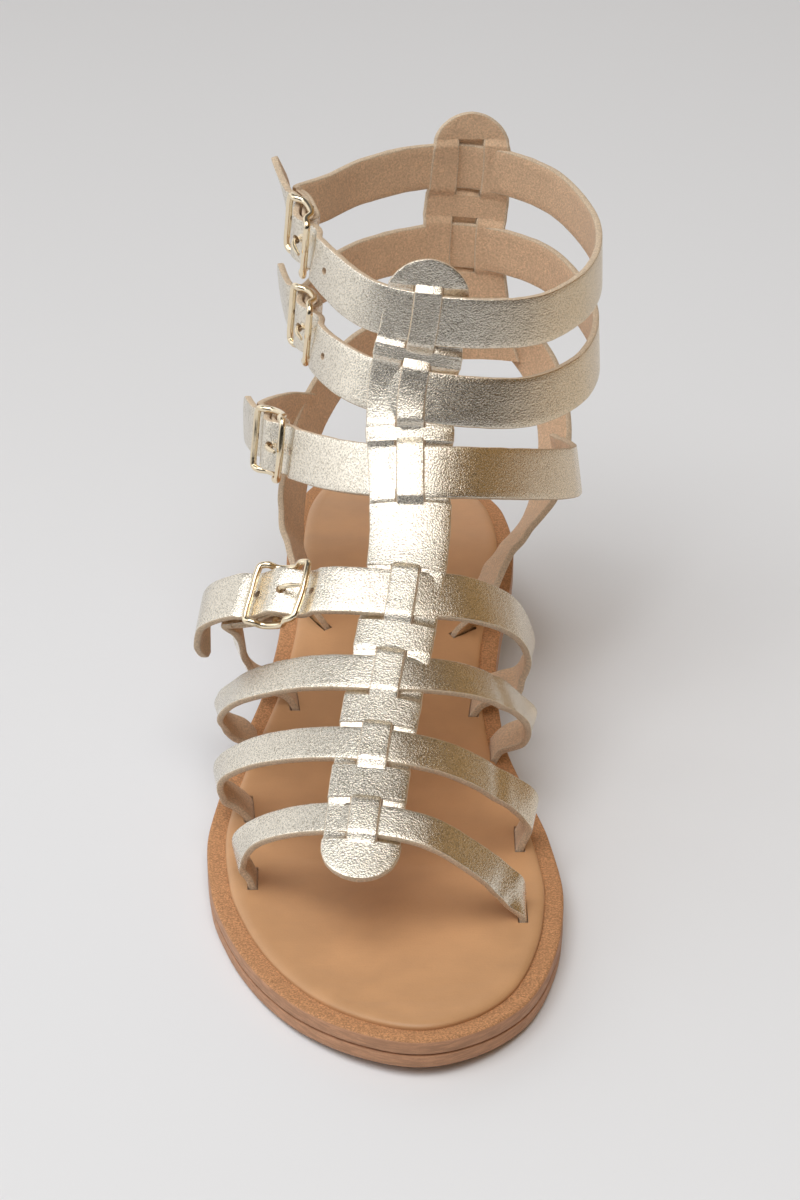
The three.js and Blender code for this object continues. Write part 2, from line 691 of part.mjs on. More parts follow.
// ---- build the upper ----
const parts = [];
const cutters = [];
const joinAll = (list) => list.reduce((sum, next) => sum.add(next));
const buckled = {};
function slotCutters(list, strap, nearSole = 17, clear = slotClear) {
  if (strap.start) cutters.push({ clear, near: list.filter((station) => station.length < nearSole) });
  if (strap.end) cutters.push({ clear, near: list.filter((station) => station.total - station.length < nearSole) });
}
Object.entries(straps).forEach(([name, strap]) => {
  if (strap.clasp !== undefined) buckled[name] = claspFrame(strap);
  const list = stations(strap, 9, buckled[name]?.length);
  if (buckled[name]) wave(list, buckled[name]);
  parts.push(stripSolid(list, leather));
  slotCutters(list, strap);
});
Object.values(legs).forEach((leg) => {
  const list = stations(leg, 8);
  parts.push(stripSolid(list, leather));
  slotCutters(list, leg, 36, 0.9);
});
const front = new THREE.Vector3(0, -1, 0.4);
const back = new THREE.Vector3(0, 1, 0);
parts.push(...crossedStrip(spineRows, front, 5));
parts.push(...crossedStrip(backRows, back, 8));
const rowPoint = (row) => place(row.x, row.s, row.z);
const tabs = [
  { end: spineRows[0], before: spineRows[1], outward: front },
  { end: spineRows.at(-1), before: spineRows.at(-2), outward: front },
  { end: backRows[0], before: backRows[1], outward: back },
];
tabs.forEach(({ end, before, outward }) => {
  parts.push(roundTab(rowPoint(end), rowPoint(before), end.width, end.tab, outward));
});
parts.push(stripSolid([
  { d: 0, width: 24 }, { d: 12, width: 30 }, { d: 19, width: 34 }].map(({ d, width }) => ({
  point: place(20.2, 8.4, 88 - d), width, along: up, across: new THREE.Vector3(1, 0, 0), out: back,
})), leather));

// folds round the middle bars, with a cut for the prong and a hole for the eyelet
function foldSolid(clasp, width) {
  const list = localStrip(clasp, foldRows, width - 0.5, 20);
  return stripSolid(list, skived)
    .subtract(block(clasp, { d: -4, v: -1.5, n: middleBar - 2.6 }, { d: 3.2, v: 1.5, n: middleBar + 3 }));
}
function leadIn(clasp, rows, strap, count) {
  const lead = [...rows.map((r) => place(r.x, r.s, r.z)), local(clasp, 17.4, 0, -4.8), local(clasp, 14.6, 0, -4.7)];
  const curve = new THREE.CatmullRomCurve3(lead, false, 'centripetal');
  const list = [];
  for (let i = 0; i <= count; i += 1) {
    const point = curve.getPointAt(i / count);
    const along = curve.getTangentAt(i / count);
    const share = smooth(i / count);
    const out = facing(strap, point, along, 0).multiplyScalar(1 - share).addScaledVector(clasp.n, share);
    out.addScaledVector(along, -out.dot(along)).normalize();
    list.push({ point, along, out, across: along.clone().cross(out), width: strap.width });
  }
  return list;
}
const prongHole = (clasp) => block(clasp, { d: -3.9, v: -1.1, n: -0.8 }, { d: 0.9, v: 1.1, n: 4 });
const foldTop = -3.75;
const foldBottom = -6.05;
const eyeletRoom = (clasp) => cylinder(clasp, eyeletAt, 0, (foldTop + foldBottom) / 2, eyeletHole + 0.8, 3.4, clasp.n)
  .add(cylinder(clasp, eyeletAt, 0, foldTop + gap + 0.4, eyeletFlange + gap, 1.1, clasp.n))
  .add(cylinder(clasp, eyeletAt, 0, foldBottom - gap - 0.4, eyeletFlange + gap, 1.1, clasp.n));
// Where two folds of leather touch along one edge, each gets its own middle point there,
// a hair apart, so that just two faces meet at every edge.
function partFolds(geometry) {
  const at = geometry.attributes.position;
  const points = [];
  const labels = new Map();
  const index = Array.from(geometry.index.array, (i) => {
    const label = [at.getX(i), at.getY(i), at.getZ(i)].map((value) => value.toFixed(3)).join();
    if (!labels.has(label)) {
      labels.set(label, points.length);
      points.push(new THREE.Vector3(at.getX(i), at.getY(i), at.getZ(i)));
    }
    return labels.get(label);
  });
  let faces = [];
  for (let i = 0; i < index.length; i += 3) faces.push(index.slice(i, i + 3));
  faces = faces.filter(([a, b, c]) => a !== b && b !== c && c !== a);
  const normal = ([a, b, c]) => points[b].clone().sub(points[a]).cross(points[c].clone().sub(points[a])).normalize();
  for (let pass = 0; pass < 40; pass += 1) {
    const edges = new Map();
    faces.forEach((face, f) => face.forEach((a, k) => {
      const b = face[(k + 1) % 3];
      const key = a < b ? `${a}_${b}` : `${b}_${a}`;
      if (!edges.has(key)) edges.set(key, []);
      edges.get(key).push({ f, k, rising: a < b });
    }));
    const shared = [...edges.entries()].find(([, uses]) => uses.length > 2);
    if (!shared) break;
    const [a, b] = shared[0].split('_').map(Number);
    const rising = shared[1].filter((use) => use.rising);
    const falling = shared[1].filter((use) => !use.rising);
    const added = [];
    const spent = new Set();
    rising.forEach((use, i) => {
      const pair = [use, falling[i]];
      const inward = new THREE.Vector3();
      pair.forEach(({ f }) => inward.sub(normal(faces[f])));
      const middle = points[a].clone().lerp(points[b], 0.5).addScaledVector(inward, 0.004)
        .addScaledVector(points[b].clone().sub(points[a]), 0.02 * i);
      points.push(middle);
      pair.forEach(({ f, k }) => {
        const face = faces[f];
        spent.add(f);
        added.push([face[k], points.length - 1, face[(k + 2) % 3]]);
        added.push([points.length - 1, face[(k + 1) % 3], face[(k + 2) % 3]]);
      });
    });
    faces = faces.filter((face, f) => !spent.has(f)).concat(added);
  }
  const parted = new THREE.BufferGeometry().setFromPoints(points);
  parted.setIndex(faces.flat());
  return parted;
}
function largest(body) {
  const pick = (whole) => whole.decompose().sort((a, b) => b.volume() - a.volume())[0];
  return pick(solid(geometryOf(pick(body))));
}
const open = (leatherSolid, clasp) => leatherSolid.subtract(prongHole(clasp)).subtract(eyeletRoom(clasp));
['lowerLoop', 'upperLoop'].forEach((name) => {
  const strap = straps[name];
  parts.push(foldSolid(buckled[name], strap.width));
  parts.push(stripSolid(leadIn(buckled[name], strap.rows.slice(-2), strap, 8), leather));
});
parts.push(foldSolid(buckled.ankle, straps.ankle.width));
parts.push(stripSolid(leadIn(buckled.ankle, straps.ankle.fixed, straps.ankle, 8), leather));

// everything lower than a given depth under the midsole's top
const below = (depth) => solid(layer(outlinePairs(0, soleLength, 34), [
  { inset: -3, height: () => -40 },
  { inset: -3, height: (s) => midsoleTop(s) - depth },
]));
let upper = joinAll(parts);
Object.values(buckled).forEach((clasp) => { upper = open(upper, clasp); });
upper = largest(upper.subtract(below(tuck)).simplify(0.05));

const instepLead = stripRows(instepBuckleStrap);
const instepList = leadIn(buckled.instep, instepLead, instepBuckleStrap, 16);
cutters.push({ clear: 0.6, near: instepList.filter((station) => station.point.z < insoleTop(114) + 8) });
const instepFixed = largest(stripSolid(instepList, leather).add(foldSolid(buckled.instep, instepBuckleStrap.width))
  .subtract(eyeletRoom(buckled.instep)).subtract(below(tuck)));

// ---- sole ----
const whole = outlinePairs(0, soleLength, 34);
const outsole = layer(whole, [
  { inset: 0.6, height: (s) => under(s) },
  { inset: 0, height: (s) => under(s) + 0.6 },
  { inset: 0, height: (s) => under(s) + outsoleThick },
]);
const midsole = layer(whole, [
  { inset: 0, height: (s) => midsoleTop(s) - midsoleThick },
  { inset: 0, height: (s) => midsoleTop(s) - 0.7 },
  { inset: 0.7, height: midsoleTop },
]);
const insole = layer(whole, [
  { inset: rimWidth, height: (s) => insoleTop(s) - insoleThick },
  { inset: rimWidth, height: (s) => insoleTop(s) - 0.8 },
  { inset: rimWidth + 0.5, height: (s) => insoleTop(s) - 0.3 },
  { inset: rimWidth + 1.6, height: insoleTop },
]);
const heelPairs = outlinePairs(0, heelLength, 14);
const heelBlock = layer(heelPairs, [
  { inset: 3.6, height: () => topPieceThick + gap },
  { inset: 2.4, height: (s) => 0.5 * under(s) },
  { inset: 1.4, height: (s) => under(s) - gap },
], true);
const topPiece = layer(heelPairs, [
  { inset: 4.2, height: () => 0 },
  { inset: 3.6, height: () => 0.6 },
  { inset: 3.6, height: () => topPieceThick },
], true);
const slots = joinAll(cutters.map(({ near, clear }) => stripSolid(near, leather, clear))).subtract(below(tuck + gap));
const insoleCut = largest(solid(insole).subtract(slots).subtract(upper).subtract(instepFixed));
const midsoleCut = largest(solid(midsole).subtract(slots).subtract(upper).subtract(instepFixed));

// ---- the finished group ----
const sandal = new THREE.Group();
function add(name, geometry, color, roughness, metalness) {
  const mesh = new THREE.Mesh(geometry, new THREE.MeshStandardMaterial({ color, roughness, metalness }));
  mesh.name = name;
  sandal.add(mesh);
}
add('outsole', outsole, 0xb98556, 0.7, 0);
add('midsole', partFolds(geometryOf(midsoleCut)), 0xc08c5c, 0.75, 0);
add('insole', partFolds(geometryOf(insoleCut)), 0xc4946a, 0.55, 0);
add('heel_block', heelBlock, 0xb07c4e, 0.7, 0);
add('heel_top_piece', topPiece, 0x4a3a2c, 0.85, 0);
add('upper', partFolds(geometryOf(upper)), 0xd8c9a8, 0.4, 0.5);
add('instep_buckle_strap', partFolds(geometryOf(instepFixed)), 0xd8c9a8, 0.4, 0.5);
Object.entries(buckled).forEach(([name, clasp]) => {
  const plain = { instep: 'instep', ankle: 'ankle', lowerLoop: 'lower_loop', upperLoop: 'upper_loop' }[name];
  add(`buckle_frame_${plain}`, buckleFrame(clasp), 0xd9c79a, 0.2, 1);
  add(`buckle_prong_${plain}`, prong(clasp), 0xd9c79a, 0.2, 1);
  add(`eyelet_${plain}`, eyelet(clasp, eyeletAt, foldTop, foldBottom), 0xc9a25c, 0.3, 1);
});
export default sandal;
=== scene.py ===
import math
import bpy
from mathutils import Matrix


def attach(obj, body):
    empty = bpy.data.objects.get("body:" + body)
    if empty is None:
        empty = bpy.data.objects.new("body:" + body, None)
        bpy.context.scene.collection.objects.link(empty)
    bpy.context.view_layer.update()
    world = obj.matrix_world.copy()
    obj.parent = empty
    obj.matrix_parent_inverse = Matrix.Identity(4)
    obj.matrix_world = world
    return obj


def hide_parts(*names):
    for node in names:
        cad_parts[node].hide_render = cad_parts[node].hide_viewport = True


bl_info = {
    "name": "Gladiator sandal",
    "version": (1, 0, 0),
    "blender": (4, 5, 0),
    "location": "View3D > Sidebar > Sandal",
    "description": "Builds the straps, sole, buckles and finishes of a gladiator sandal round its packed frame",
    "category": "Object",
}

import bmesh
import bpy
import numpy as np
from mathutils import Matrix, Vector

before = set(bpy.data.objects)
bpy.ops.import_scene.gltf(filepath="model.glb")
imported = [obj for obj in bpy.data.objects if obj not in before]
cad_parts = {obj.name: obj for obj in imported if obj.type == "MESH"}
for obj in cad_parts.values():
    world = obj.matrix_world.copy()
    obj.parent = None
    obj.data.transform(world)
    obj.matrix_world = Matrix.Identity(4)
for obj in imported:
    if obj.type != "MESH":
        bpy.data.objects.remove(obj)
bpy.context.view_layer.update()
MM = 0.001

# ---------------------------------------------------------------- sizes and colours


def millimetres(name, description, default, low=0.0, high=400.0):
    return bpy.props.FloatProperty(
        name=name, description=description, default=default, min=low, max=high, subtype="NONE", precision=2
    )


def colour(name, description, default):
    return bpy.props.FloatVectorProperty(
        name=name, description=description, default=default, size=3, min=0.0, max=1.0, subtype="COLOR"
    )


def factor(name, description, default, high=1.0):
    return bpy.props.FloatProperty(
        name=name, description=description, default=default, min=0.0, max=high, subtype="FACTOR"
    )


class SandalSizes(bpy.types.PropertyGroup):
    leather: millimetres("Leather thickness", "Thickness of every strap, in mm", 1.8, 1.0, 3.0)
    skived: millimetres("Skived thickness", "Thickness of a strap where it folds round a buckle bar, in mm",
                        1.2, 0.6, 2.0)
    edge: millimetres("Edge rounding", "Radius of the rubbed edges of the straps, in mm", 0.42, 0.05, 0.8)
    bridge: millimetres("Bridge width", "Strip of the spine between two slits, in mm", 6.8, 3.0, 12.0)
    rim: millimetres("Rim width", "Flat edge of the midsole round the insole, in mm", 4.6, 0.0, 12.0)
    wire: millimetres("Buckle wire", "Radius of the buckle wire, in mm", 0.9, 0.4, 1.6)
    hole: millimetres("Punched hole", "Diameter of a punched hole, in mm", 1.9, 0.5, 4.0)
    hole_spacing: millimetres("Hole spacing", "Distance between punched holes, in mm", 8.2, 4.0, 15.0)
    grain: millimetres("Grain size", "Size of one fleck of the metallic grain, in mm", 0.42, 0.1, 2.0)


class SandalColours(bpy.types.PropertyGroup):
    foil: colour("Metallic leather", "Outer face of the straps", (0.90, 0.84, 0.73))
    # This golden tint is a painted reflection of a brown surround on the straps' inner side, blended in by
    # position.
    foil_painted_reflection: colour("Metallic leather, inner side", "Golden rubbing of the outer face towards the big toe",
                      (0.80, 0.60, 0.36))
    foil_pit: colour("Metallic leather pits", "Worn pits of the metallic grain", (0.42, 0.36, 0.27))
    suede: colour("Suede", "Inner face of the straps", (0.76, 0.535, 0.35))
    edge: colour("Cut edge", "Raw edges of the straps", (0.72, 0.575, 0.42))
    insole: colour("Insole", "Smooth leather under the foot", (0.595, 0.33, 0.16))
    rim: colour("Rim", "Top of the midsole round the insole", (0.56, 0.285, 0.135))
    wall: colour("Sole edge", "Trimmed side of the sole", (0.50, 0.265, 0.15))
    stack: colour("Heel stack", "Layered leather of the heel", (0.44, 0.24, 0.125))
    rubber: colour("Heel rubber", "Top piece under the heel", (0.055, 0.035, 0.022))
    gold: colour("Buckle gold", "Polished plating of the buckles", (0.90, 0.77, 0.56))
    brass: colour("Eyelet brass", "Eyelets and prongs", (0.80, 0.58, 0.30))
    floor: colour("Floor", "Plain backdrop", (0.80, 0.815, 0.84))


class SandalStage(bpy.types.PropertyGroup):
    floor_radius: bpy.props.FloatProperty(
        name="Floor radius", description="Half width of the plain floor", default=6.0, min=1.0, unit="LENGTH"
    )
    lens: bpy.props.FloatProperty(
        name="Lens", description="Focal length of the camera, in mm", default=81.0, min=10.0, subtype="NONE"
    )
    key: bpy.props.FloatProperty(
        name="Key light", description="Power of the overhead softbox, in watts", default=14.5, min=0.0,
        unit="POWER"
    )
    fill: bpy.props.FloatProperty(
        name="Side light", description="Power of the softbox on the outer side, in watts", default=2.0,
        min=0.0, unit="POWER"
    )
    sky: factor("Room light", "Brightness of the room round the sandal", 0.95, 4.0)


def sizes():
    return bpy.context.scene.sandal_sizes


def colours():
    return bpy.context.scene.sandal_colours


# ---------------------------------------------------------------- shape of the sandal
# x runs towards the inner side, s forward from the back of the heel, z up from the ground, all in mm

PLAN_X, PLAN_S = 0.22, 125.5
SOLE_LENGTH = 251.0
OUTSOLE, MIDSOLE, INSOLE, GAP = 3.4, 3.7, 1.4, 0.3
HEEL_LENGTH, TOP_PIECE = 60.0, 3.2

# height of the outsole's underside: (s, z)
UNDER = [(0, 24.6), (28, 24.6), (50, 24.0), (70, 21.6), (90, 17.2), (110, 11.8), (130, 6.6), (150, 2.8),
         (170, 0.6), (184, 0), (212, 0), (232, 0.7), (251, 2.6)]
# half outlines of the sole: (s, outer x, inner x)
OUTLINE = [(0, 0, 0), (4, -13, 13.5), (10, -20, 19.5), (20, -26, 25.5), (35, -29.6, 31), (52, -30.8, 32.6),
           (70, -31.2, 31), (90, -32.8, 27), (110, -36.4, 24.6), (130, -42.4, 25.6), (150, -47.6, 30.2),
           (168, -50, 34.4), (188, -48.4, 36.2), (205, -44, 34.6), (220, -37.6, 31), (233, -29.2, 25.6),
           (243, -19, 17.6), (248.5, -10, 9.6), (251, 0, 0)]

# a strap: width; focus (x, s, z) that it faces away from, z None for a level strap;
# start and end slots (x, s, outward step); rows (x, s, z, tip in degrees);
# clasp: the row at its buckle; folded: the far end folds back round the same buckle;
# creases (mm along, depth, spread)
STRAPS = {
    "toe": dict(
        width=8.6, focus=(-6, 184, -12), start=(-36.5, 185, -2.5), end=(24.5, 200.5, 1),
        rows=[(-41.5, 186, 16.5), (-38, 189, 24), (-27, 195, 31.8), (-11.7, 201.5, 36), (3, 203.5, 33.5),
              (14, 203, 25.6), (21.5, 201.5, 17.4)],
        creases=[(9, 0.25, 2.0), (14, 0.16, 1.5), (92, 0.2, 2.0)]),
    "ball": dict(
        width=9.5, focus=(-5, 158, -10), start=(-37, 157, -4), end=(24.5, 170.5, 3),
        rows=[(-46.4, 158.5, 18), (-46, 161, 25), (-39, 166, 32.5), (-26, 174, 39.8), (-8.8, 181, 43.5),
              (8, 179.5, 38.6), (21, 175.5, 28.6), (29.5, 172, 18.6)],
        creases=[(12, 0.3, 2.0), (17, 0.2, 1.6), (104, 0.25, 2.0)]),
    "waist": dict(
        width=10, focus=(-3, 134, -8), start=(-37, 130, -4), end=(20.5, 134.5, 4),
        rows=[(-45.4, 131.5, 20), (-46.8, 135, 27), (-43, 140.5, 35), (-36, 148, 42.4), (-23, 156.5, 49.6),
              (-5.3, 161.5, 51.8), (10, 158, 48.5), (21, 151, 41), (28.4, 144, 31.5), (31, 138.5, 22)],
        creases=[(13, 0.3, 2.2), (20, 0.2, 1.8), (113, 0.25, 2.2)]),
    "instep": dict(
        width=13, focus=(0, 106, 6), start=(16, 117, 4.5), end=None,
        rows=[(29, 118, 24), (32, 119.5, 32), (31, 123, 40.5), (26.5, 128.5, 49.5), (15, 136.5, 58.6),
              (-1.1, 140.5, 62.4), (-17, 139, 63), (-32, 132, 58.6), (-41.6, 126.6, 55.2), (-50.4, 120, 48.4),
              (-52.2, 115.6, 41), (-51, 112, 34.5)],
        clasp=7, creases=[(14, 0.3, 2.2), (22, 0.2, 2.0), (117, 0.25, 1.5)]),
    "ankle": dict(
        width=13.4, focus=(6, 62, None), start=None, end=None,
        rows=[(45, 42, 53, 4), (48.4, 58, 57.5, 6), (47, 73, 63, 12), (40, 88, 69.5, 20), (27, 103, 77, 32),
              (15, 110, 80.8, 37), (1.7, 112, 82, 39), (-11, 106.5, 80.6, 35), (-22, 96.5, 78.4, 24),
              (-34, 79, 75.2, 10), (-39, 66, 74, 2), (-41, 56, 72.5, 0)],
        clasp=9, fixed=[(-24.4, 38, 64.5, 0), (-30.4, 47, 68.5, 0)],
        creases=[(5, 0.3, 1.8), (30, 0.15, 3.0), (108, 0.25, 1.6)]),
    "lower_loop": dict(
        width=13, focus=(14, 55, None), start=None, end=None,
        rows=[(-31, 40, 106, 0), (-29, 51, 104, 0), (-25, 64, 103, 4), (-19.5, 81, 101, 12),
              (-10, 94, 99.6, 22), (2.4, 100, 98.2, 26), (18, 99, 95.4, 22), (33, 93, 92.8, 14),
              (46, 80, 92.6, 8), (52.6, 63, 94, 4),
              (52, 43, 97, 0), (41, 19, 101.4, 0), (19.6, 8, 103.4, 0), (2, 14, 104, 0), (-10, 22, 103.6, 0)],
        clasp=2, folded=True, lead=(-19.5, 33, 102.6), creases=[(34, 0.2, 2.0), (120, 0.15, 3.5)]),
    "upper_loop": dict(
        width=12.8, focus=(14, 52, None), start=None, end=None,
        rows=[(-31, 37, 137, -6), (-28.4, 48, 130.5, -2), (-25.4, 60, 126.4, 2), (-18.4, 77, 122.6, 8),
              (-8, 90, 118.8, 12), (5.9, 95, 116.7, 14), (20, 95.4, 115.4, 11), (35, 90.5, 114.4, 8),
              (47.6, 76, 115.2, 4), (53.2, 58, 117, 2), (52, 40, 119.8, 0), (41.6, 18.6, 124, 0),
              (21.6, 8, 126.6, 0), (3, 13.5, 127.6, 0), (-9.5, 21.5, 127, 0)],
        clasp=2, folded=True, lead=(-18.5, 32, 126.4), creases=[(33, 0.2, 2.0), (118, 0.15, 3.5)]),
}
INSTEP_BUCKLE_STRAP = dict(
    width=12.6, focus=(0, 106, 6), start=(-27, 114, -3.5), end=None,
    rows=[(-38.5, 114.5, 25), (-42, 116, 34), (-42.4, 118.6, 42)])
# spine up the front and heel piece: (x, s, z, width, strap that crosses there)
SPINE = [(-13.7, 216.6, 29.6, 18.4, None), (-12.7, 209, 32.8, 18.4, None),
         (-11.7, 201.5, 36, 18.4, "toe"), (-8.8, 181, 43.5, 18.6, "ball"),
         (-5.3, 161.5, 51.8, 19, "waist"), (-1.1, 140.5, 62.4, 19.6, "instep"), (1.2, 125, 71.4, 20.2, None),
         (1.7, 112, 82, 21.6, "ankle"), (2.4, 100, 98.2, 23, "lower_loop"),
         (5.9, 95, 116.7, 22.2, "upper_loop"),
         (7.6, 91.9, 131.4, 20.2, None)]
HEEL_PIECE = [(22, 8.8, 142.3, 21.6, None), (21.8, 8.6, 136, 21.6, None),
              (21.6, 8, 126.6, 23.4, "upper_loop"), (19.6, 8, 103.4, 24, "lower_loop"),
              (20, 8, 88, 26, None), (20.3, 8.2, 77, 28, None), (20.4, 8.6, 69, 33, None)]
LEGS = {
    "outer": dict(
        width=13.6, focus=(8, 62, 66), start=None, end=(-22.5, 85, -2),
        rows=[(15, 8.6, 81), (3, 10.6, 78.5), (-10, 17, 74.4), (-19, 29, 69), (-25.4, 42, 61),
              (-28.8, 55, 51), (-29.4, 67, 43.6), (-27, 77, 37)],
        creases=[(88, 0.25, 2.5), (98, 0.2, 2.0)]),
    "inner": dict(
        width=13.6, focus=(8, 62, 66), start=None, end=(18, 90, 2.5),
        rows=[(25, 8.2, 81), (35, 10.4, 76), (42, 16, 68.5), (45, 27, 59.5), (44.4, 40, 51), (40, 54, 43.5),
              (33, 67, 41), (25.6, 79, 37)],
        creases=[(86, 0.25, 2.5), (96, 0.2, 2.0)]),
}
CROWN = 38.0  # the spine is bowed across its width by this radius
RAMP = 2.2  # length over which the bridge climbs over a strap

# buckles: d along the strap towards its tip, v across it, n outward
BUCKLE_LENGTH, BUCKLE_WIDTH = 16.0, 18.4
MIDDLE_BAR, END_BAR, WAVE, HALF_WAVE = -2.25, 1.1, 1.4, 7.8
# the end of a strap folded round the middle bar: (d, n)
FOLD = [(18, -5.6), (11, -5.4), (3, -4.45), (-0.6, -4.05), (-1.9, -2.3), (-0.6, -0.62), (2.6, -1.4),
        (7.6, -4.1), (12, -4.35), (17, -4.5)]
PRONG = [(0.9, -3.9), (1.85, -2.25), (0.6, -0.55), (-1.2, 0.6), (-2.4, 2.4), (-4.4, 3.25), (-8.6, 3.3)]
EYELET_AT, FOLD_TOP, FOLD_BOTTOM, FOLD_DROP = 12.0, -3.75, -6.05, 4.5
BUCKLED = ("instep", "ankle", "lower_loop", "upper_loop")
# punched holes of each buckled strap, in hole spacings from the prong's hole
HOLES = {"instep": (-1, 0, 1), "ankle": (-1, 0, 1),
         "lower_loop": (-2, -1, 0, 1), "upper_loop": (-2, -1, 0, 1)}


def place(x, s, z):
    return np.array([x - PLAN_X, PLAN_S - s, z], float)


def monotone(xs, ys, at):
    """Smooth values through (xs, ys) with no overshoot."""
    xs, ys = np.asarray(xs, float), np.asarray(ys, float)
    at = np.clip(at, xs[0], xs[-1])
    slope = np.diff(ys) / np.diff(xs)
    tangent = np.concatenate([[slope[0]], np.zeros(len(xs) - 2), [slope[-1]]])
    for i in range(1, len(xs) - 1):
        if slope[i - 1] * slope[i] > 0:
            tangent[i] = 2 * slope[i - 1] * slope[i] / (slope[i - 1] + slope[i])
    i = np.clip(np.searchsorted(xs, at, side="right") - 1, 0, len(xs) - 2)
    span = xs[i + 1] - xs[i]
    t = (at - xs[i]) / span
    return (
        ys[i] * (2 * t**3 - 3 * t**2 + 1)
        + ys[i + 1] * (3 * t**2 - 2 * t**3)
        + span * (tangent[i] * (t**3 - 2 * t**2 + t) + tangent[i + 1] * (t**3 - t**2))
    )


def round_ends(s):
    return np.arccos(1 - 2 * np.asarray(s, float) / SOLE_LENGTH) / math.pi


def under(s):
    return monotone([row[0] for row in UNDER], [row[1] for row in UNDER], s)


def midsole_top(s):
    return under(s) + OUTSOLE + GAP + MIDSOLE


def insole_top(s):
    return midsole_top(s) + GAP + INSOLE


def unit(v):
    return v / np.maximum(np.linalg.norm(v, axis=-1, keepdims=True), 1e-12)


class Path:
    """A smooth curve through points, read by the distance along it."""

    def __init__(self, points, closed=False, per=48):
        p = np.asarray(points, float)
        if closed:
            p = np.vstack([p[-1], p, p[0], p[1]])
        else:
            p = np.vstack([2 * p[0] - p[1], p, 2 * p[-1] - p[-2]])
        out, ts = [], []
        for i in range(1, len(p) - 2):
            p0, p1, p2, p3 = p[i - 1: i + 3]
            d0, d1, d2 = (max(np.linalg.norm(b - a), 1e-4) ** 0.5 for a, b in ((p0, p1), (p1, p2), (p2, p3)))
            m1 = ((p1 - p0) / d0 - (p2 - p0) / (d0 + d1) + (p2 - p1) / d1) * d1
            m2 = ((p2 - p1) / d1 - (p3 - p1) / (d1 + d2) + (p3 - p2) / d2) * d1
            t = np.linspace(0, 1, per, endpoint=False)[:, None]
            out.append(
                p1 * (2 * t**3 - 3 * t**2 + 1) + m1 * (t**3 - 2 * t**2 + t)
                + p2 * (3 * t**2 - 2 * t**3) + m2 * (t**3 - t**2)
            )
            ts.append(i - 1 + t[:, 0])
        out.append(p[-2][None])
        ts.append([len(p) - 3])
        self.p = np.vstack(out)
        self.t = np.concatenate(ts)
        self.d = np.concatenate([[0], np.cumsum(np.linalg.norm(np.diff(self.p, axis=0), axis=1))])
        self.length = self.d[-1]

    def at(self, distance):
        return np.stack([np.interp(distance, self.d, self.p[:, k]) for k in range(3)], -1)

    def along(self, distance, reach=0.6):
        a = np.clip(distance - reach, 0, self.length)
        b = np.clip(distance + reach, 0, self.length)
        return unit(self.at(b) - self.at(a))

    def row(self, distance):
        return np.interp(distance, self.d, self.t)

    def distance(self, row):
        return float(np.interp(row, self.t, self.d))


class Strip:
    """Stations along a strip: point, along, out, across (n x 3), width and length along (n)."""

    def __init__(self, point, along, out, width, length):
        self.point, self.along, self.out = point, along, out
        self.across = unit(np.cross(along, out))
        self.width, self.length = width, length

    def part(self, keep):
        return Strip(self.point[keep], self.along[keep], self.out[keep], self.width[keep], self.length[keep])


def strap_rows(strap):
    rows = [(*row[:3], row[3] if len(row) > 3 else 0.0) for row in strap["rows"]]

    def foot(end):
        x, s, outward = end
        return [
            (x, s, float(midsole_top(s)) - 3.3, 0.0),
            (x + outward, s, float(insole_top(s)) + 1.4, 0.0),
        ]

    if strap["start"]:
        rows = foot(strap["start"]) + rows
    if strap["end"]:
        rows = rows + foot(strap["end"])[::-1]
    return rows


def facing(strap, point, along, tip):
    x, s, z = strap["focus"]
    middle = np.tile(place(x, s, 0.0 if z is None else z), (len(point), 1))
    if z is None:
        middle[:, 2] = point[:, 2]
    out = unit(point - middle)
    if z is not None and z < 20:
        # near its slot a strap bends under, square to the foot's length
        height = point[:, 2] - np.array([float(insole_top(PLAN_S - y)) for y in point[:, 1]])
        share = np.clip((height - 5) / 15, 0, 1)[:, None]
        share = share * share * (3 - 2 * share)
        side = np.sign(point[:, 0] - middle[:, 0])
        under_turn = np.stack([side, 0 * side, -np.ones(len(side))], -1) / math.sqrt(2)
        out = unit(under_turn * (1 - share) + out * share)
    if z is None:
        angle = np.radians(tip)[:, None]
        out = out * np.cos(angle) + np.array([0, 0, 1.0]) * np.sin(angle)
    return unit(out - along * np.sum(out * along, axis=1, keepdims=True))


def clasp_of(name):
    """Buckle directions and place on a strap."""
    strap = STRAPS[name]
    path = Path([place(*row[:3]) for row in strap_rows(strap)])
    row = strap["clasp"] + (2 if strap["start"] else 0)
    at = np.array([path.distance(row)])
    tips = [r[3] for r in strap_rows(strap)]
    tip = np.interp([row], range(len(tips)), tips)
    along = path.along(at)
    out = facing(strap, path.at(at), along, tip)[0]
    d = along[0] * (-1 if strap.get("folded") else 1)
    return dict(centre=path.at(at)[0], d=d, n=out, v=np.cross(d, out), length=float(at[0]), name=name)


def local(clasp, d, v, n):
    return clasp["centre"] + clasp["d"] * d + clasp["v"] * v + clasp["n"] * n


def strap_strip(strap, step=0.9, clasp=None):
    rows = strap_rows(strap)
    path = Path([place(*row[:3]) for row in rows])
    count = max(2, int(round(path.length / step)))
    length = np.linspace(0, path.length, count + 1)
    tip = monotone(range(len(rows)), [row[3] for row in rows], path.row(length))
    point, along = path.at(length), path.along(length)
    out = facing(strap, point, along, tip)
    if clasp is not None:
        d = np.abs(length - clasp["length"])
        lift = np.where(d < 1.5 * HALF_WAVE, WAVE * np.cos(math.pi * d / HALF_WAVE), 0.0)
        point = point + out * lift[:, None]
    for at, depth, spread in strap.get("creases", ()):
        trough = depth * np.exp(-(((length - at) / spread) ** 2))
        ridge = 0.6 * depth * np.exp(-(((length - at - 2.2 * spread) / spread) ** 2))
        point = point + out * (ridge - trough)[:, None]
    return Strip(point, along, out, np.full(len(length), float(strap["width"])), length)


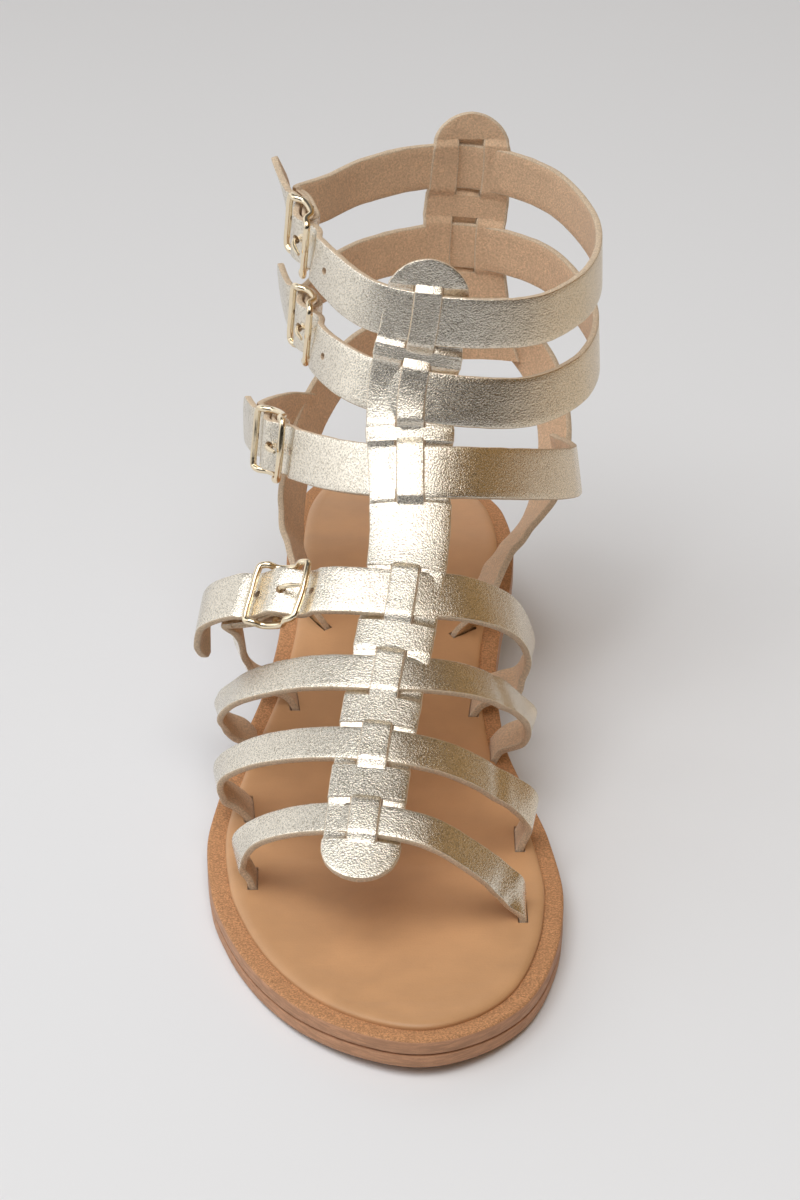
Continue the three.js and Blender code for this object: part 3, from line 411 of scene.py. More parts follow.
def free_end(strip, at_start):
    """Rounds the corners of a strap's loose end."""
    away = strip.length - strip.length[0] if at_start else strip.length[-1] - strip.length
    t = np.clip(1 - away / 3.2, 0, 1)
    strip.width = strip.width - 4.4 * (1 - np.sqrt(np.maximum(1 - t**2, 0)))
    return strip


# ---------------------------------------------------------------- meshes


def make(name, points, faces, looks, index=None, uv=None, flat=False):
    """One mesh object from points in mm, with its looks, a look number and uv corners for each face."""
    mesh = bpy.data.meshes.new(name)
    mesh.from_pydata((np.asarray(points) * MM).tolist(), [], faces)
    for look in looks:
        mesh.materials.append(look)
    if index is not None:
        mesh.polygons.foreach_set("material_index", np.asarray(index, np.int32))
    if uv is not None:
        layer = mesh.uv_layers.new(name="along_across")
        layer.data.foreach_set("uv", np.asarray(uv, np.float32).ravel())
    mesh.polygons.foreach_set("use_smooth", np.full(len(faces), not flat))
    mesh.validate()
    mesh.update()
    obj = bpy.data.objects.new(name, mesh)
    bpy.context.scene.collection.objects.link(obj)
    return obj


def join(name, objects):
    """Joins mesh objects into one."""
    if len(objects) == 1:
        return objects[0]
    bpy.ops.object.select_all(action="DESELECT")
    for obj in objects:
        obj.select_set(True)
    bpy.context.view_layer.objects.active = objects[0]
    if len(objects) > 1:
        bpy.ops.object.join()
    obj = bpy.context.view_layer.objects.active
    obj.name = name
    obj.data.name = name
    return obj


def strap_section(width, thick, edge):
    """Cross-section of a strap, outer face first: (side, rise, look) with look 0 foil, 1 suede, 2 edge."""
    half, top, r = width / 2, thick / 2, edge
    points = []
    for t in np.linspace(-1, 1, 9):
        points.append((t * (half - r), top + 0.05 * (1 - t * t), 0))
    for a in (60, 30):
        points.append((half - r + r * math.cos(math.radians(a)), top - r + r * math.sin(math.radians(a)),
                       0 if a > 45 else 2))
    points.append((half, top - r, 2))
    points.append((half + 0.05, 0, 2))
    points.append((half, -top + r, 2))
    points.append((half - 0.3 * r, -top + 0.3 * r, 2))
    for t in np.linspace(1, -1, 7):
        points.append((t * (half - r), -top, 1))
    points.append((-half + 0.3 * r, -top + 0.3 * r, 2))
    points.append((-half, -top + r, 2))
    points.append((-half - 0.05, 0, 2))
    points.append((-half, top - r, 2))
    for a in (30, 60):
        points.append((-half + r - r * math.cos(math.radians(a)), top - r + r * math.sin(math.radians(a)),
                       0 if a > 45 else 2))
    return points


def face_look(a, b):
    if a == b:
        return a
    return 2 if 2 in (a, b) and 1 in (a, b) else (0 if 0 in (a, b) and 2 not in (a, b) else 2)


def sweep(name, strip, thick, looks, low=None, high=None, lift=None, rough=0.0, seed=1):
    """A strip of leather. low and high trim its width to a band; lift(stations) moves it outward; the
    edges wander by rough mm."""
    sz = sizes()
    n = len(strip.point)
    rng = np.random.default_rng(seed)
    wander = np.zeros((2, n))
    if rough and n > 3:
        for row in range(2):
            noise = rng.normal(size=n)
            wander[row] = rough * np.convolve(noise, [0.25, 0.5, 0.25], "same")
    rings = []
    for i in range(n):
        left = -strip.width[i] / 2 if low is None else low[i]
        right = strip.width[i] / 2 if high is None else high[i]
        width = max(right - left, 0.3)
        section = strap_section(width, thick, min(sz.edge, width * 0.3, thick * 0.4))
        side = np.array([p[0] for p in section])
        rise = np.array([p[1] for p in section]) + (0.0 if lift is None else lift[i])
        side = side + np.where(side > 0, wander[0][i], wander[1][i]) * (np.abs(side) / (width / 2)) ** 4
        middle = (left + right) / 2
        rings.append((side + middle, rise))
        looks_at = [p[2] for p in section]
    side = np.array([r[0] for r in rings])
    rise = np.array([r[1] for r in rings])
    if getattr(strip, "bowed", False):
        angle = side / CROWN
        points = (
            strip.point[:, None]
            + strip.across[:, None] * ((CROWN + rise) * np.sin(angle))[..., None]
            + strip.out[:, None] * ((CROWN + rise) * np.cos(angle) - CROWN)[..., None]
        )
    else:
        points = (
            strip.point[:, None]
            + strip.across[:, None] * side[..., None]
            + strip.out[:, None] * rise[..., None]
        )
    k = side.shape[1]
    ring = [side[n // 2], rise[n // 2]]
    steps = np.diff(ring, axis=1, append=[[ring[0][0]], [ring[1][0]]])
    v = np.concatenate([[0], np.cumsum(np.hypot(*steps))])
    faces, index, uv = [], [], []
    for i in range(n - 1):
        u0, u1 = strip.length[i], strip.length[i + 1]
        for j in range(k):
            a, b = i * k + j, i * k + (j + 1) % k
            faces.append((a, b, b + k, a + k))
            index.append(face_look(looks_at[j], looks_at[(j + 1) % k]))
            uv.extend([(u0, v[j]), (u0, v[j + 1]), (u1, v[j + 1]), (u1, v[j])])
    for start, order in ((0, range(k - 1, -1, -1)), ((n - 1) * k, range(k))):
        faces.append(tuple(start + j for j in order))
        index.append(2)
        uv.extend([(0, v[j]) for j in order])
    flat = points.reshape(-1, 3)
    obj = make(name, flat, faces, looks, index, np.array(uv) * MM)
    turn_outward(obj)
    return obj


def turn_outward(obj):
    """Makes the faces of a closed mesh point outward."""
    mesh = obj.data
    mesh.calc_loop_triangles()
    p = np.empty(len(mesh.vertices) * 3)
    mesh.vertices.foreach_get("co", p)
    p = p.reshape(-1, 3)
    t = np.empty(len(mesh.loop_triangles) * 3, int)
    mesh.loop_triangles.foreach_get("vertices", t)
    a, b, c = (p[t.reshape(-1, 3)[:, i]] for i in range(3))
    if np.einsum("ij,ij->i", a, np.cross(b, c)).sum() < 0:
        mesh.flip_normals()


def cut(obj, cutter):
    """Cuts the cutter's shape out of obj."""
    whole = len(obj.data.polygons)
    bpy.ops.object.select_all(action="DESELECT")
    bpy.context.view_layer.objects.active = obj
    obj.select_set(True)
    for solver in ("MANIFOLD", "EXACT"):
        kept = obj.data.copy()
        step = obj.modifiers.new("cut", "BOOLEAN")
        step.operation = "DIFFERENCE"
        step.solver = solver
        step.object = cutter
        bpy.ops.object.modifier_apply(modifier=step.name)
        if len(obj.data.polygons) > 0.8 * whole:
            bpy.data.objects.remove(cutter, do_unlink=True)
            return
        obj.data = kept
    raise RuntimeError(f"{obj.name} can't be cut")


def rod(name, points, radii, looks, ring=16, closed=False, flatten=1.0, up=None, step=0.35):
    """A round bar along points, its radius read along its length."""
    path = Path(points, closed=closed)
    count = max(6, int(path.length / step))
    at = np.linspace(0, path.length, count + (0 if closed else 1), endpoint=not closed)
    radius = np.interp(at / path.length, np.linspace(0, 1, len(radii)), radii)
    point = path.at(at)
    if closed:
        along = unit(np.roll(point, -1, axis=0) - np.roll(point, 1, axis=0))
    else:
        along = path.along(at, 0.3)
    side = unit(np.cross(along, np.tile(up, (len(at), 1))))
    rise = np.cross(side, along)
    angles = np.linspace(0, 2 * math.pi, ring, endpoint=False)
    points = (
        point[:, None]
        + side[:, None] * (np.cos(angles)[None] * radius[:, None])[..., None]
        + rise[:, None] * (np.sin(angles)[None] * radius[:, None] * flatten)[..., None]
    )
    n = len(at)
    faces = []
    for i in range(n if closed else n - 1):
        for j in range(ring):
            a, b = i * ring + j, i * ring + (j + 1) % ring
            c, d = ((i + 1) % n) * ring + (j + 1) % ring, ((i + 1) % n) * ring + j
            faces.append((a, b, c, d))
    if not closed:
        faces.append(tuple(range(ring - 1, -1, -1)))
        faces.append(tuple((n - 1) * ring + j for j in range(ring)))
    obj = make(name, points.reshape(-1, 3), faces, looks)
    turn_outward(obj)
    return obj


def lathe(name, profile, centre, axis, looks, ring=40):
    """A ring turned from a closed profile of (radius, height) round an axis."""
    axis = unit(np.asarray(axis, float))
    side = unit(np.cross(axis, [0.3, 0.5, 0.8]))
    other = np.cross(axis, side)
    angles = np.linspace(0, 2 * math.pi, ring, endpoint=False)
    points = [
        centre + (side * math.cos(a) + other * math.sin(a)) * r + axis * h for a in angles for r, h in profile
    ]
    k = len(profile)
    faces = []
    for i in range(ring):
        for j in range(k):
            a, b = i * k + j, i * k + (j + 1) % k
            c, d = ((i + 1) % ring) * k + (j + 1) % k, ((i + 1) % ring) * k + j
            faces.append((a, b, c, d))
    obj = make(name, points, faces, looks)
    turn_outward(obj)
    return obj


def drill(centre, axis, radius, length, looks, look):
    """A round cutter."""
    axis = unit(np.asarray(axis, float))
    side = unit(np.cross(axis, [0.3, 0.5, 0.8]))
    other = np.cross(axis, side)
    angles = np.linspace(0, 2 * math.pi, 24, endpoint=False)
    around = [(side * math.cos(a) + other * math.sin(a)) * radius for a in angles]
    points = [centre + p - axis * length / 2 for p in around]
    points += [centre + p + axis * length / 2 for p in around]
    faces = [(i, (i + 1) % 24, 24 + (i + 1) % 24, 24 + i) for i in range(24)]
    faces += [tuple(range(23, -1, -1)), tuple(range(24, 48))]
    obj = make("drill", points, faces, looks, [look] * len(faces))
    turn_outward(obj)
    return obj


def finish_piece(obj, slot, *nodes):
    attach(obj, "root")
    if nodes:
        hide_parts(*nodes)
    return obj


# ---------------------------------------------------------------- finishes


class Look:
    """A procedural finish, built node by node."""

    made = {}

    def __init__(self, name):
        self.mat = bpy.data.materials.new(name)
        self.mat.use_nodes = True
        self.tree = self.mat.node_tree
        self.tree.nodes.clear()
        self.out = self.add("ShaderNodeOutputMaterial")
        self.base = self.add("ShaderNodeBsdfPrincipled")
        self.tree.links.new(self.base.outputs[0], self.out.inputs[0])
        self.coords = self.add("ShaderNodeTexCoord").outputs["Object"]
        self.uv = self.add("ShaderNodeTexCoord").outputs["UV"]

    def add(self, kind, values=None, **attrs):
        node = self.tree.nodes.new(kind)
        for key, value in attrs.items():
            setattr(node, key, value)
        for key, value in (values or {}).items():
            self.put(node.inputs[key], value)
        return node

    def put(self, socket, value):
        if isinstance(value, bpy.types.NodeSocket):
            self.tree.links.new(value, socket)
        elif isinstance(value, (tuple, list)) or hasattr(value, "__len__"):
            value = tuple(value)
            socket.default_value = (*value, 1.0) if len(value) == 3 and socket.type == "RGBA" else value
        else:
            socket.default_value = value

    def scaled(self, source, scale):
        node = self.add("ShaderNodeMapping", {"Vector": source, "Scale": scale})
        return node.outputs[0]

    def noise(self, size_mm, detail=2.0, rough=0.5, source=None, warp=0.0):
        """Noise whose blobs are about size_mm across."""
        values = {"Vector": source or self.coords, "Scale": 1000.0 / size_mm, "Detail": detail,
                  "Roughness": rough, "Distortion": warp}
        return self.add("ShaderNodeTexNoise", values).outputs["Fac"]

    def cells(self, size_mm, feature="F1", source=None):
        values = {"Vector": source or self.coords, "Scale": 1000.0 / size_mm}
        return self.add("ShaderNodeTexVoronoi", values, feature=feature).outputs["Distance"]

    def ramp(self, value, low, high, out_low=0.0, out_high=1.0):
        values = {"Value": value, "From Min": low, "From Max": high, "To Min": out_low, "To Max": out_high}
        return self.add("ShaderNodeMapRange", values, interpolation_type="SMOOTHSTEP").outputs[0]

    def mix(self, share, a, b):
        node = self.add("ShaderNodeMix", data_type="RGBA")
        self.put(node.inputs[0], share)
        self.put(node.inputs[6], a)
        self.put(node.inputs[7], b)
        return node.outputs[2]

    def math(self, operation, a, b=0.0):
        node = self.add("ShaderNodeMath", operation=operation)
        self.put(node.inputs[0], a)
        self.put(node.inputs[1], b)
        return node.outputs[0]

    def bump(self, height, depth_mm, normal=None, strength=1.0):
        values = {"Height": height, "Distance": depth_mm * MM, "Strength": strength}
        if normal is not None:
            values["Normal"] = normal
        return self.add("ShaderNodeBump", values).outputs[0]

    def set(self, **values):
        names = {"colour": "Base Color", "rough": "Roughness", "metal": "Metallic", "normal": "Normal",
                 "coat": "Coat Weight", "coat_rough": "Coat Roughness", "sheen": "Sheen Weight",
                 "sheen_rough": "Sheen Roughness", "specular": "Specular IOR Level"}
        for key, value in values.items():
            self.put(self.base.inputs[names[key]], value)
        return self.mat


def dim(rgb, share):
    return tuple(c * share for c in rgb)


def foil_look():
    """Metallic leather: a fine crackled grain that breaks up the reflections, with dull pits, and a painted
    golden reflection towards the inner side.
    """
    look, c, grain = Look("metallic_leather"), colours(), sizes().grain
    fleck = look.noise(grain, 3.0, 0.65)
    pores = look.cells(grain * 1.5)
    cloud = look.noise(7.0, 2.0, 0.5)
    pits = look.ramp(fleck, 0.50, 0.60)
    inner = look.add("ShaderNodeSeparateXYZ", {"Vector": look.coords}).outputs[0]
    tone = look.mix(look.ramp(cloud, 0.35, 0.7, 0.0, 0.22), tuple(c.foil), dim(c.foil, 0.86))
    # painted reflection: the foil turns golden towards the inner side (x from 12 to 46 mm), standing in for a
    # reflected brown surround
    tone = look.mix(look.ramp(inner, 0.012, 0.046, 0.0, 0.75), tone, tuple(c.foil_painted_reflection))
    tone = look.mix(look.math("MULTIPLY", pits, 0.62), tone, tuple(c.foil_pit))
    rough = look.ramp(fleck, 0.3, 0.75, 0.12, 0.24)
    normal = look.bump(cloud, 0.35, strength=0.4)
    normal = look.bump(pores, 0.05, normal, 0.5)
    normal = look.bump(fleck, 0.17, normal, 0.9)
    return look.set(colour=tone, metal=1.0, rough=rough, normal=normal)


def suede_look():
    look, c = Look("suede"), colours()
    nap = look.noise(0.55, 4.0, 0.7)
    cloud = look.noise(6.0, 3.0, 0.6)
    tone = look.mix(look.ramp(nap, 0.3, 0.75), dim(c.suede, 0.72), dim(c.suede, 1.22))
    tone = look.mix(look.ramp(cloud, 0.35, 0.7, 0.0, 0.35), tone, dim(c.suede, 0.8))
    normal = look.bump(nap, 0.35, strength=0.8)
    return look.set(colour=tone, rough=0.95, normal=normal, sheen=0.25, sheen_rough=0.5, specular=0.15)


def edge_look():
    look, c = Look("cut_edge"), colours()
    fibre = look.noise(0.4, 4.0, 0.7)
    tone = look.mix(look.ramp(fibre, 0.35, 0.7), dim(c.edge, 0.72), dim(c.edge, 1.15))
    normal = look.bump(fibre, 0.25, strength=0.8)
    return look.set(colour=tone, rough=0.85, normal=normal, specular=0.2)


def insole_look():
    """Smooth tan leather with fine pores and faint stretched wrinkles."""
    look, c = Look("insole_leather"), colours()
    pore = look.cells(0.55)
    cloud = look.noise(22.0, 3.0, 0.55)
    wrinkle = look.noise(2.6, 3.0, 0.6, look.scaled(look.coords, (0.35, 1.6, 1.0)), 0.6)
    fine = look.noise(0.35, 2.0, 0.6)
    tone = look.mix(look.ramp(cloud, 0.3, 0.72), dim(c.insole, 0.9), dim(c.insole, 1.08))
    tone = look.mix(look.ramp(fine, 0.5, 0.75, 0.0, 0.18), tone, dim(c.insole, 0.7))
    normal = look.bump(wrinkle, 0.35, strength=0.22)
    normal = look.bump(pore, 0.06, normal, 0.25)
    return look.set(colour=tone, rough=look.ramp(cloud, 0.2, 0.8, 0.40, 0.52), normal=normal, specular=0.45)


def rim_look():
    """Grainy flat leather of the rim."""
    look, c = Look("rim_leather"), colours()
    grit = look.noise(0.5, 4.0, 0.75)
    blot = look.noise(3.0, 3.0, 0.6)
    tone = look.mix(look.ramp(grit, 0.36, 0.66), dim(c.rim, 0.62), dim(c.rim, 1.28))
    tone = look.mix(look.ramp(blot, 0.4, 0.7, 0.0, 0.3), tone, dim(c.rim, 0.85))
    normal = look.bump(grit, 0.25, strength=0.7)
    return look.set(colour=tone, rough=0.78, normal=normal, specular=0.25)


def wall_look():
    """Trimmed edge of the sole: burnished, with faint lines of the leather's fibres."""
    look, c = Look("sole_edge_leather"), colours()
    fibre = look.noise(1.2, 4.0, 0.65, look.scaled(look.coords, (0.25, 0.25, 2.2)))
    grit = look.noise(0.45, 3.0, 0.7)
    blot = look.noise(9.0, 2.0, 0.5)
    tone = look.mix(look.ramp(fibre, 0.35, 0.68), dim(c.wall, 0.8), dim(c.wall, 1.16))
    tone = look.mix(look.ramp(grit, 0.5, 0.72, 0.0, 0.4), tone, dim(c.wall, 0.66))
    tone = look.mix(look.ramp(blot, 0.4, 0.7, 0.0, 0.3), tone, dim(c.wall, 0.86))
    normal = look.bump(fibre, 0.12, strength=0.5)
    normal = look.bump(grit, 0.12, normal, 0.4)
    return look.set(colour=tone, rough=0.58, normal=normal, specular=0.35)


def stack_look():
    """Heel built of stacked leather layers, about 4 mm each."""
    look, c = Look("heel_stack"), colours()
    split = look.add("ShaderNodeSeparateXYZ", {"Vector": look.coords}).outputs[2]
    step = look.math("FRACT", look.math("MULTIPLY", split, 1000.0 / 4.2))
    line = look.math("MINIMUM", look.ramp(step, 0.0, 0.09), look.ramp(step, 1.0, 0.93))
    fibre = look.noise(1.2, 4.0, 0.65, look.scaled(look.coords, (0.25, 0.25, 2.4)))
    tone = look.mix(look.ramp(fibre, 0.35, 0.68), dim(c.stack, 0.78), dim(c.stack, 1.18))
    tone = look.mix(line, dim(c.stack, 0.35), tone)
    normal = look.bump(line, 0.25, strength=0.7)
    normal = look.bump(fibre, 0.1, normal, 0.4)
    return look.set(colour=tone, rough=0.5, normal=normal, specular=0.4)


def under_look():
    """Underside of the outsole: plain flesh-side leather with light scuffs."""
    look, c = Look("outsole_leather"), colours()
    fibre = look.noise(0.8, 4.0, 0.7)
    scuff = look.noise(9.0, 4.0, 0.7, look.scaled(look.coords, (0.5, 2.0, 1.0)), 0.8)
    tone = look.mix(look.ramp(fibre, 0.35, 0.68), dim(c.rim, 0.74), dim(c.rim, 1.12))
    tone = look.mix(look.ramp(scuff, 0.52, 0.72, 0.0, 0.45), tone, dim(c.rim, 0.55))
    normal = look.bump(fibre, 0.2, strength=0.6)
    return look.set(colour=tone, rough=0.72, normal=normal, specular=0.25)


def rubber_look():
    look, c = Look("heel_rubber"), colours()
    grit = look.noise(0.6, 3.0, 0.6)
    tone = look.mix(look.ramp(grit, 0.4, 0.7), tuple(c.rubber), dim(c.rubber, 1.7))
    return look.set(colour=tone, rough=0.75, normal=look.bump(grit, 0.15, strength=0.6), specular=0.3)


def gold_look():
    look, c = Look("polished_gold"), colours()
    wear = look.noise(1.6, 3.0, 0.6)
    tone = look.mix(look.ramp(wear, 0.45, 0.75, 0.0, 0.25), tuple(c.gold), dim(c.gold, 0.8))
    rough = look.ramp(wear, 0.3, 0.8, 0.10, 0.24)
    return look.set(colour=tone, metal=1.0, rough=rough, normal=look.bump(wear, 0.05, strength=0.3))


def brass_look():
    look, c = Look("polished_brass"), colours()
    wear = look.noise(0.9, 3.0, 0.6)
    tone = look.mix(look.ramp(wear, 0.4, 0.75, 0.0, 0.4), tuple(c.brass), dim(c.brass, 0.6))
    return look.set(colour=tone, metal=1.0, rough=look.ramp(wear, 0.3, 0.8, 0.18, 0.34))


def floor_look():
    look, c = Look("floor"), colours()
    cloud = look.noise(900.0, 2.0, 0.5)
    tone = look.mix(look.ramp(cloud, 0.3, 0.7), dim(c.floor, 0.985), tuple(c.floor))
    return look.set(colour=tone, rough=0.85, specular=0.15)


LOOKS = {"foil": foil_look, "suede": suede_look, "edge": edge_look, "insole": insole_look,
         "rim": rim_look, "wall": wall_look, "stack": stack_look, "under": under_look,
         "rubber": rubber_look, "gold": gold_look, "brass": brass_look, "floor": floor_look}


def looks(*names):
    for name in names:
        if name not in Look.made:
            Look.made[name] = LOOKS[name]()
    return [Look.made[name] for name in names]


# ---------------------------------------------------------------- sole


def outline_pairs(start, end, count):
    """Outer and inner edge points of the sole from s = start to s = end: two arrays of (x, s)."""
    q = np.linspace(round_ends(start), round_ends(end), count + 1)
    s = SOLE_LENGTH * (1 - np.cos(math.pi * q)) / 2
    warp = [float(round_ends(row[0])) for row in OUTLINE]
    outer = monotone(warp, [row[1] for row in OUTLINE], q)
    inner = monotone(warp, [row[2] for row in OUTLINE], q)
    return np.stack([outer, s], -1), np.stack([inner, s], -1)


def inset_pairs(outer, inner, inset, square=False):
    moved = []
    for side, sign in ((outer, 1), (inner, -1)):
        along = unit(np.vstack([side[1:], side[-1:]]) - np.vstack([side[:1], side[:-1]]))
        inward = np.stack([along[:, 1] * sign, -along[:, 0] * sign], -1)
        tip = np.linalg.norm(outer - inner, axis=1) < 1e-3
        inward[tip] = [[0, 1] if i == 0 else [0, -1] for i in np.flatnonzero(tip)]
        points = side + inward * inset
        if square:
            points[-1, 1] = side[-1, 1] - inset
        moved.append(points)
    return moved


def layer(name, pairs, levels, looks_list, pick, across=36, square=False, relief=None):
    """A flat-lying piece: rings of the outline at each (inset, height) level, closed by two grids.
    pick gives the look number of "low", "high" or a level's wall; relief(x, s) raises the top grid."""
    outer, inner = pairs
    n = len(outer)
    points, faces, index = [], [], []
    loops = []
    for inset, height in levels:
        o, i = inset_pairs(outer, inner, inset, square)
        loop = np.vstack([o, i[::-1]])
        loops.append(len(points))
        points.extend(place(x, s, float(height(s))) for x, s in loop)
    size = 2 * n
    for level in range(len(levels) - 1):
        a0, b0 = loops[level], loops[level + 1]
        for k in range(size):
            k2 = (k + 1) % size
            faces.append((a0 + k, a0 + k2, b0 + k2, b0 + k))
            index.append(pick(level))
    for level, word in ((0, "low"), (len(levels) - 1, "high")):
        inset, height = levels[level]
        o, i = inset_pairs(outer, inner, inset, square)
        grid = np.empty((n, across + 1), int)
        for r in range(n):
            grid[r, 0], grid[r, across] = loops[level] + r, loops[level] + size - 1 - r
            for c in range(1, across):
                x, s = o[r] + (i[r] - o[r]) * c / across
                z = float(height(s)) + (relief(x, s) if relief and word == "high" else 0.0)
                grid[r, c] = len(points)
                points.append(place(x, s, z))
        for r in range(n - 1):
            for c in range(across):
                quad = (grid[r, c], grid[r + 1, c], grid[r + 1, c + 1], grid[r, c + 1])
                faces.append(quad if word == "high" else quad[::-1])
                index.append(pick(word))
    faces = [tuple(int(v) for v in f) for f in faces]
    obj = make(name, points, faces, looks_list, index)
    tidy_mesh(obj)
    return obj


def tidy_mesh(obj):
    """Merges points that coincide and faces the mesh outward."""
    bm = bmesh.new()
    bm.from_mesh(obj.data)
    bmesh.ops.remove_doubles(bm, verts=bm.verts, dist=2e-6)
    bmesh.ops.recalc_face_normals(bm, faces=bm.faces)
    bm.to_mesh(obj.data)
    bm.free()
    turn_outward(obj)


def crisp(obj, degrees=38):
    """Smooth shading with sharp corners kept."""
    bpy.ops.object.select_all(action="DESELECT")
    obj.select_set(True)
    bpy.context.view_layer.objects.active = obj
    bpy.ops.object.shade_smooth_by_angle(angle=math.radians(degrees))


# soft folds of the insole: (x, s, length, direction in degrees from across, depth)
INSOLE_FOLDS = [(-14, 178, 34, 6, 0.16), (8, 171, 30, -8, 0.14), (-20, 163, 26, 10, 0.12),
                (4, 150, 24, -5, 0.10), (-6, 236, 26, 4, 0.10), (12, 229, 20, -10, 0.09),
                (-22, 222, 18, 25, 0.09), (2, 66, 22, 8, 0.10), (-8, 120, 24, -6, 0.10),
                (10, 193, 18, 12, 0.09), (-33, 196, 14, 60, 0.10), (24, 214, 14, -50, 0.09)]


def insole_relief(x, s):
    z = 0.0
    for fx, fs, length, turn, depth in INSOLE_FOLDS:
        c, d = math.cos(math.radians(turn)), math.sin(math.radians(turn))
        u, w = (x - fx) * c + (s - fs) * d, -(x - fx) * d + (s - fs) * c
        reach = math.exp(-((u / (0.5 * length)) ** 2))
        z += reach * depth * (0.6 * math.exp(-(((w - 2.6) / 1.8) ** 2)) - math.exp(-((w / 1.3) ** 2)))
    heel = math.exp(-(((s - 34) / 26) ** 2) - ((x - 0.5) / 17) ** 2)
    ball = math.exp(-(((s - 178) / 24) ** 2) - ((x + 6) / 26) ** 2)
    return z - 0.45 * heel - 0.3 * ball


def slot_cutter(strap, near_start, clear, looks_list):
    """The room that a strap needs where it goes into its slot."""
    clasp = None
    strip = strap_strip(strap, 1.0, clasp)
    if near_start:
        keep = strip.length < 13
    else:
        keep = strip.length > strip.length[-1] - 13
    strip = strip.part(keep)
    w, t = strip.width / 2 + clear, sizes().leather / 2 + clear * 0.7
    points = []
    for i in range(len(strip.point)):
        for side, face in ((-1, -1), (1, -1), (1, 1), (-1, 1)):
            points.append(strip.point[i] + strip.across[i] * side * w[i] + strip.out[i] * face * t)
    n = len(strip.point)
    faces = [(i * 4 + j, i * 4 + (j + 1) % 4, (i + 1) * 4 + (j + 1) % 4, (i + 1) * 4 + j)
             for i in range(n - 1) for j in range(4)]
    faces += [(3, 2, 1, 0), tuple((n - 1) * 4 + j for j in range(4))]
    obj = make("slot", points, faces, looks_list, [1] * len(faces))
    turn_outward(obj)
    return obj


def slotted_straps():
    for strap in (*STRAPS.values(), INSTEP_BUCKLE_STRAP, *LEGS.values()):
        if strap["start"]:
            yield strap, True
        if strap["end"]:
            yield strap, False


class SANDAL_OT_sole(bpy.types.Operator):
    """Builds the outsole and the midsole with its grainy rim"""

    bl_idname = "sandal.sole"
    bl_label = "Sole layers"

    def execute(self, context):
        pairs = outline_pairs(0, SOLE_LENGTH, 150)
        outsole = layer(
            "outsole_layer", pairs,
            [(1.0, lambda s: under(s)), (0.35, lambda s: under(s) + 0.15), (0.1, lambda s: under(s) + 0.5),
             (0.0, lambda s: under(s) + 1.2), (0.0, lambda s: under(s) + OUTSOLE - 0.5),
             (0.12, lambda s: under(s) + OUTSOLE - 0.15), (0.55, lambda s: under(s) + OUTSOLE)],
            looks("wall", "under"), lambda word: 1 if word in ("low", 0) else 0)
        crisp(outsole)
        finish_piece(outsole, "outsole_leather", "outsole")
        midsole = layer(
            "midsole_layer", pairs,
            [(0.55, lambda s: midsole_top(s) - MIDSOLE), (0.12, lambda s: midsole_top(s) - MIDSOLE + 0.15),
             (0.0, lambda s: midsole_top(s) - MIDSOLE + 0.5), (0.0, lambda s: midsole_top(s) - 0.8),
             (0.1, lambda s: midsole_top(s) - 0.4), (0.4, lambda s: midsole_top(s) - 0.1),
             (0.9, lambda s: midsole_top(s))],
            looks("wall", "rim"), lambda word: 1 if word in ("high", 5, 4) else 0)
        crisp(midsole)
        finish_piece(midsole, "sole_leather", "midsole")
        return {"FINISHED"}


class SANDAL_OT_insole(bpy.types.Operator):
    """Builds the smooth insole with its rounded edge, soft folds and strap slots"""

    bl_idname = "sandal.insole"
    bl_label = "Insole"

    def execute(self, context):
        rim = context.scene.sandal_sizes.rim
        top = insole_top
        levels = [(rim, lambda s: top(s) - INSOLE - 0.25), (rim - 0.05, lambda s: top(s) - 1.1),
                  (rim + 0.1, lambda s: top(s) - 0.8), (rim + 0.4, lambda s: top(s) - 0.5),
                  (rim + 0.9, lambda s: top(s) - 0.25), (rim + 1.7, lambda s: top(s) - 0.08),
                  (rim + 2.8, lambda s: top(s))]
        insole = layer("insole_layer", outline_pairs(0, SOLE_LENGTH, 200), levels, looks("insole", "suede"),
                       lambda word: 0, across=72, relief=insole_relief)
        for strap, near_start in slotted_straps():
            cut(insole, slot_cutter(strap, near_start, 0.45, looks("insole", "suede")))
        crisp(insole, 34)
        finish_piece(insole, "insole_leather", "insole")
        return {"FINISHED"}


class SANDAL_OT_heel(bpy.types.Operator):
    """Builds the stacked heel block and its top piece"""

    bl_idname = "sandal.heel"
    bl_label = "Heel"

    def execute(self, context):
        pairs = outline_pairs(0, HEEL_LENGTH, 70)
        block = layer(
            "heel_stack", pairs,
            [(3.7, lambda s: TOP_PIECE + GAP), (3.5, lambda s: TOP_PIECE + GAP + 0.2),
             (3.0, lambda s: 0.32 * under(s)), (2.4, lambda s: 0.5 * under(s)),
             (1.8, lambda s: 0.75 * under(s)), (1.4, lambda s: under(s) - GAP)],
            looks("stack"), lambda word: 0, across=16, square=True)
        crisp(block)
        finish_piece(block, "heel_stack_leather", "heel_block")
        piece = layer(
            "heel_tip", pairs,
            [(4.2, lambda s: 0.0), (3.8, lambda s: 0.2), (3.6, lambda s: 0.6),
             (3.6, lambda s: TOP_PIECE - 0.3), (3.8, lambda s: TOP_PIECE)],
            looks("rubber"), lambda word: 0, across=16, square=True)
        crisp(piece)
        finish_piece(piece, "heel_rubber", "heel_top_piece")
        return {"FINISHED"}


# ---------------------------------------------------------------- upper


def punched(obj, clasp, strip_sign):
    """Punches the holes of one buckled strap, the prong's hole among them."""
    sz = sizes()
    strap = STRAPS[clasp["name"]]
    strip = strap_strip(strap, 0.5, clasp)
    for number in HOLES[clasp["name"]]:
        at = clasp["length"] + strip_sign * (-2.0 + number * sz.hole_spacing)
        i = int(np.argmin(np.abs(strip.length - at)))
        radius = sz.hole / 2 + (0.25 if number == 0 else 0.0)
        cut(obj, drill(strip.point[i], strip.out[i], radius, 5.0, looks("foil", "suede", "edge"), 2))


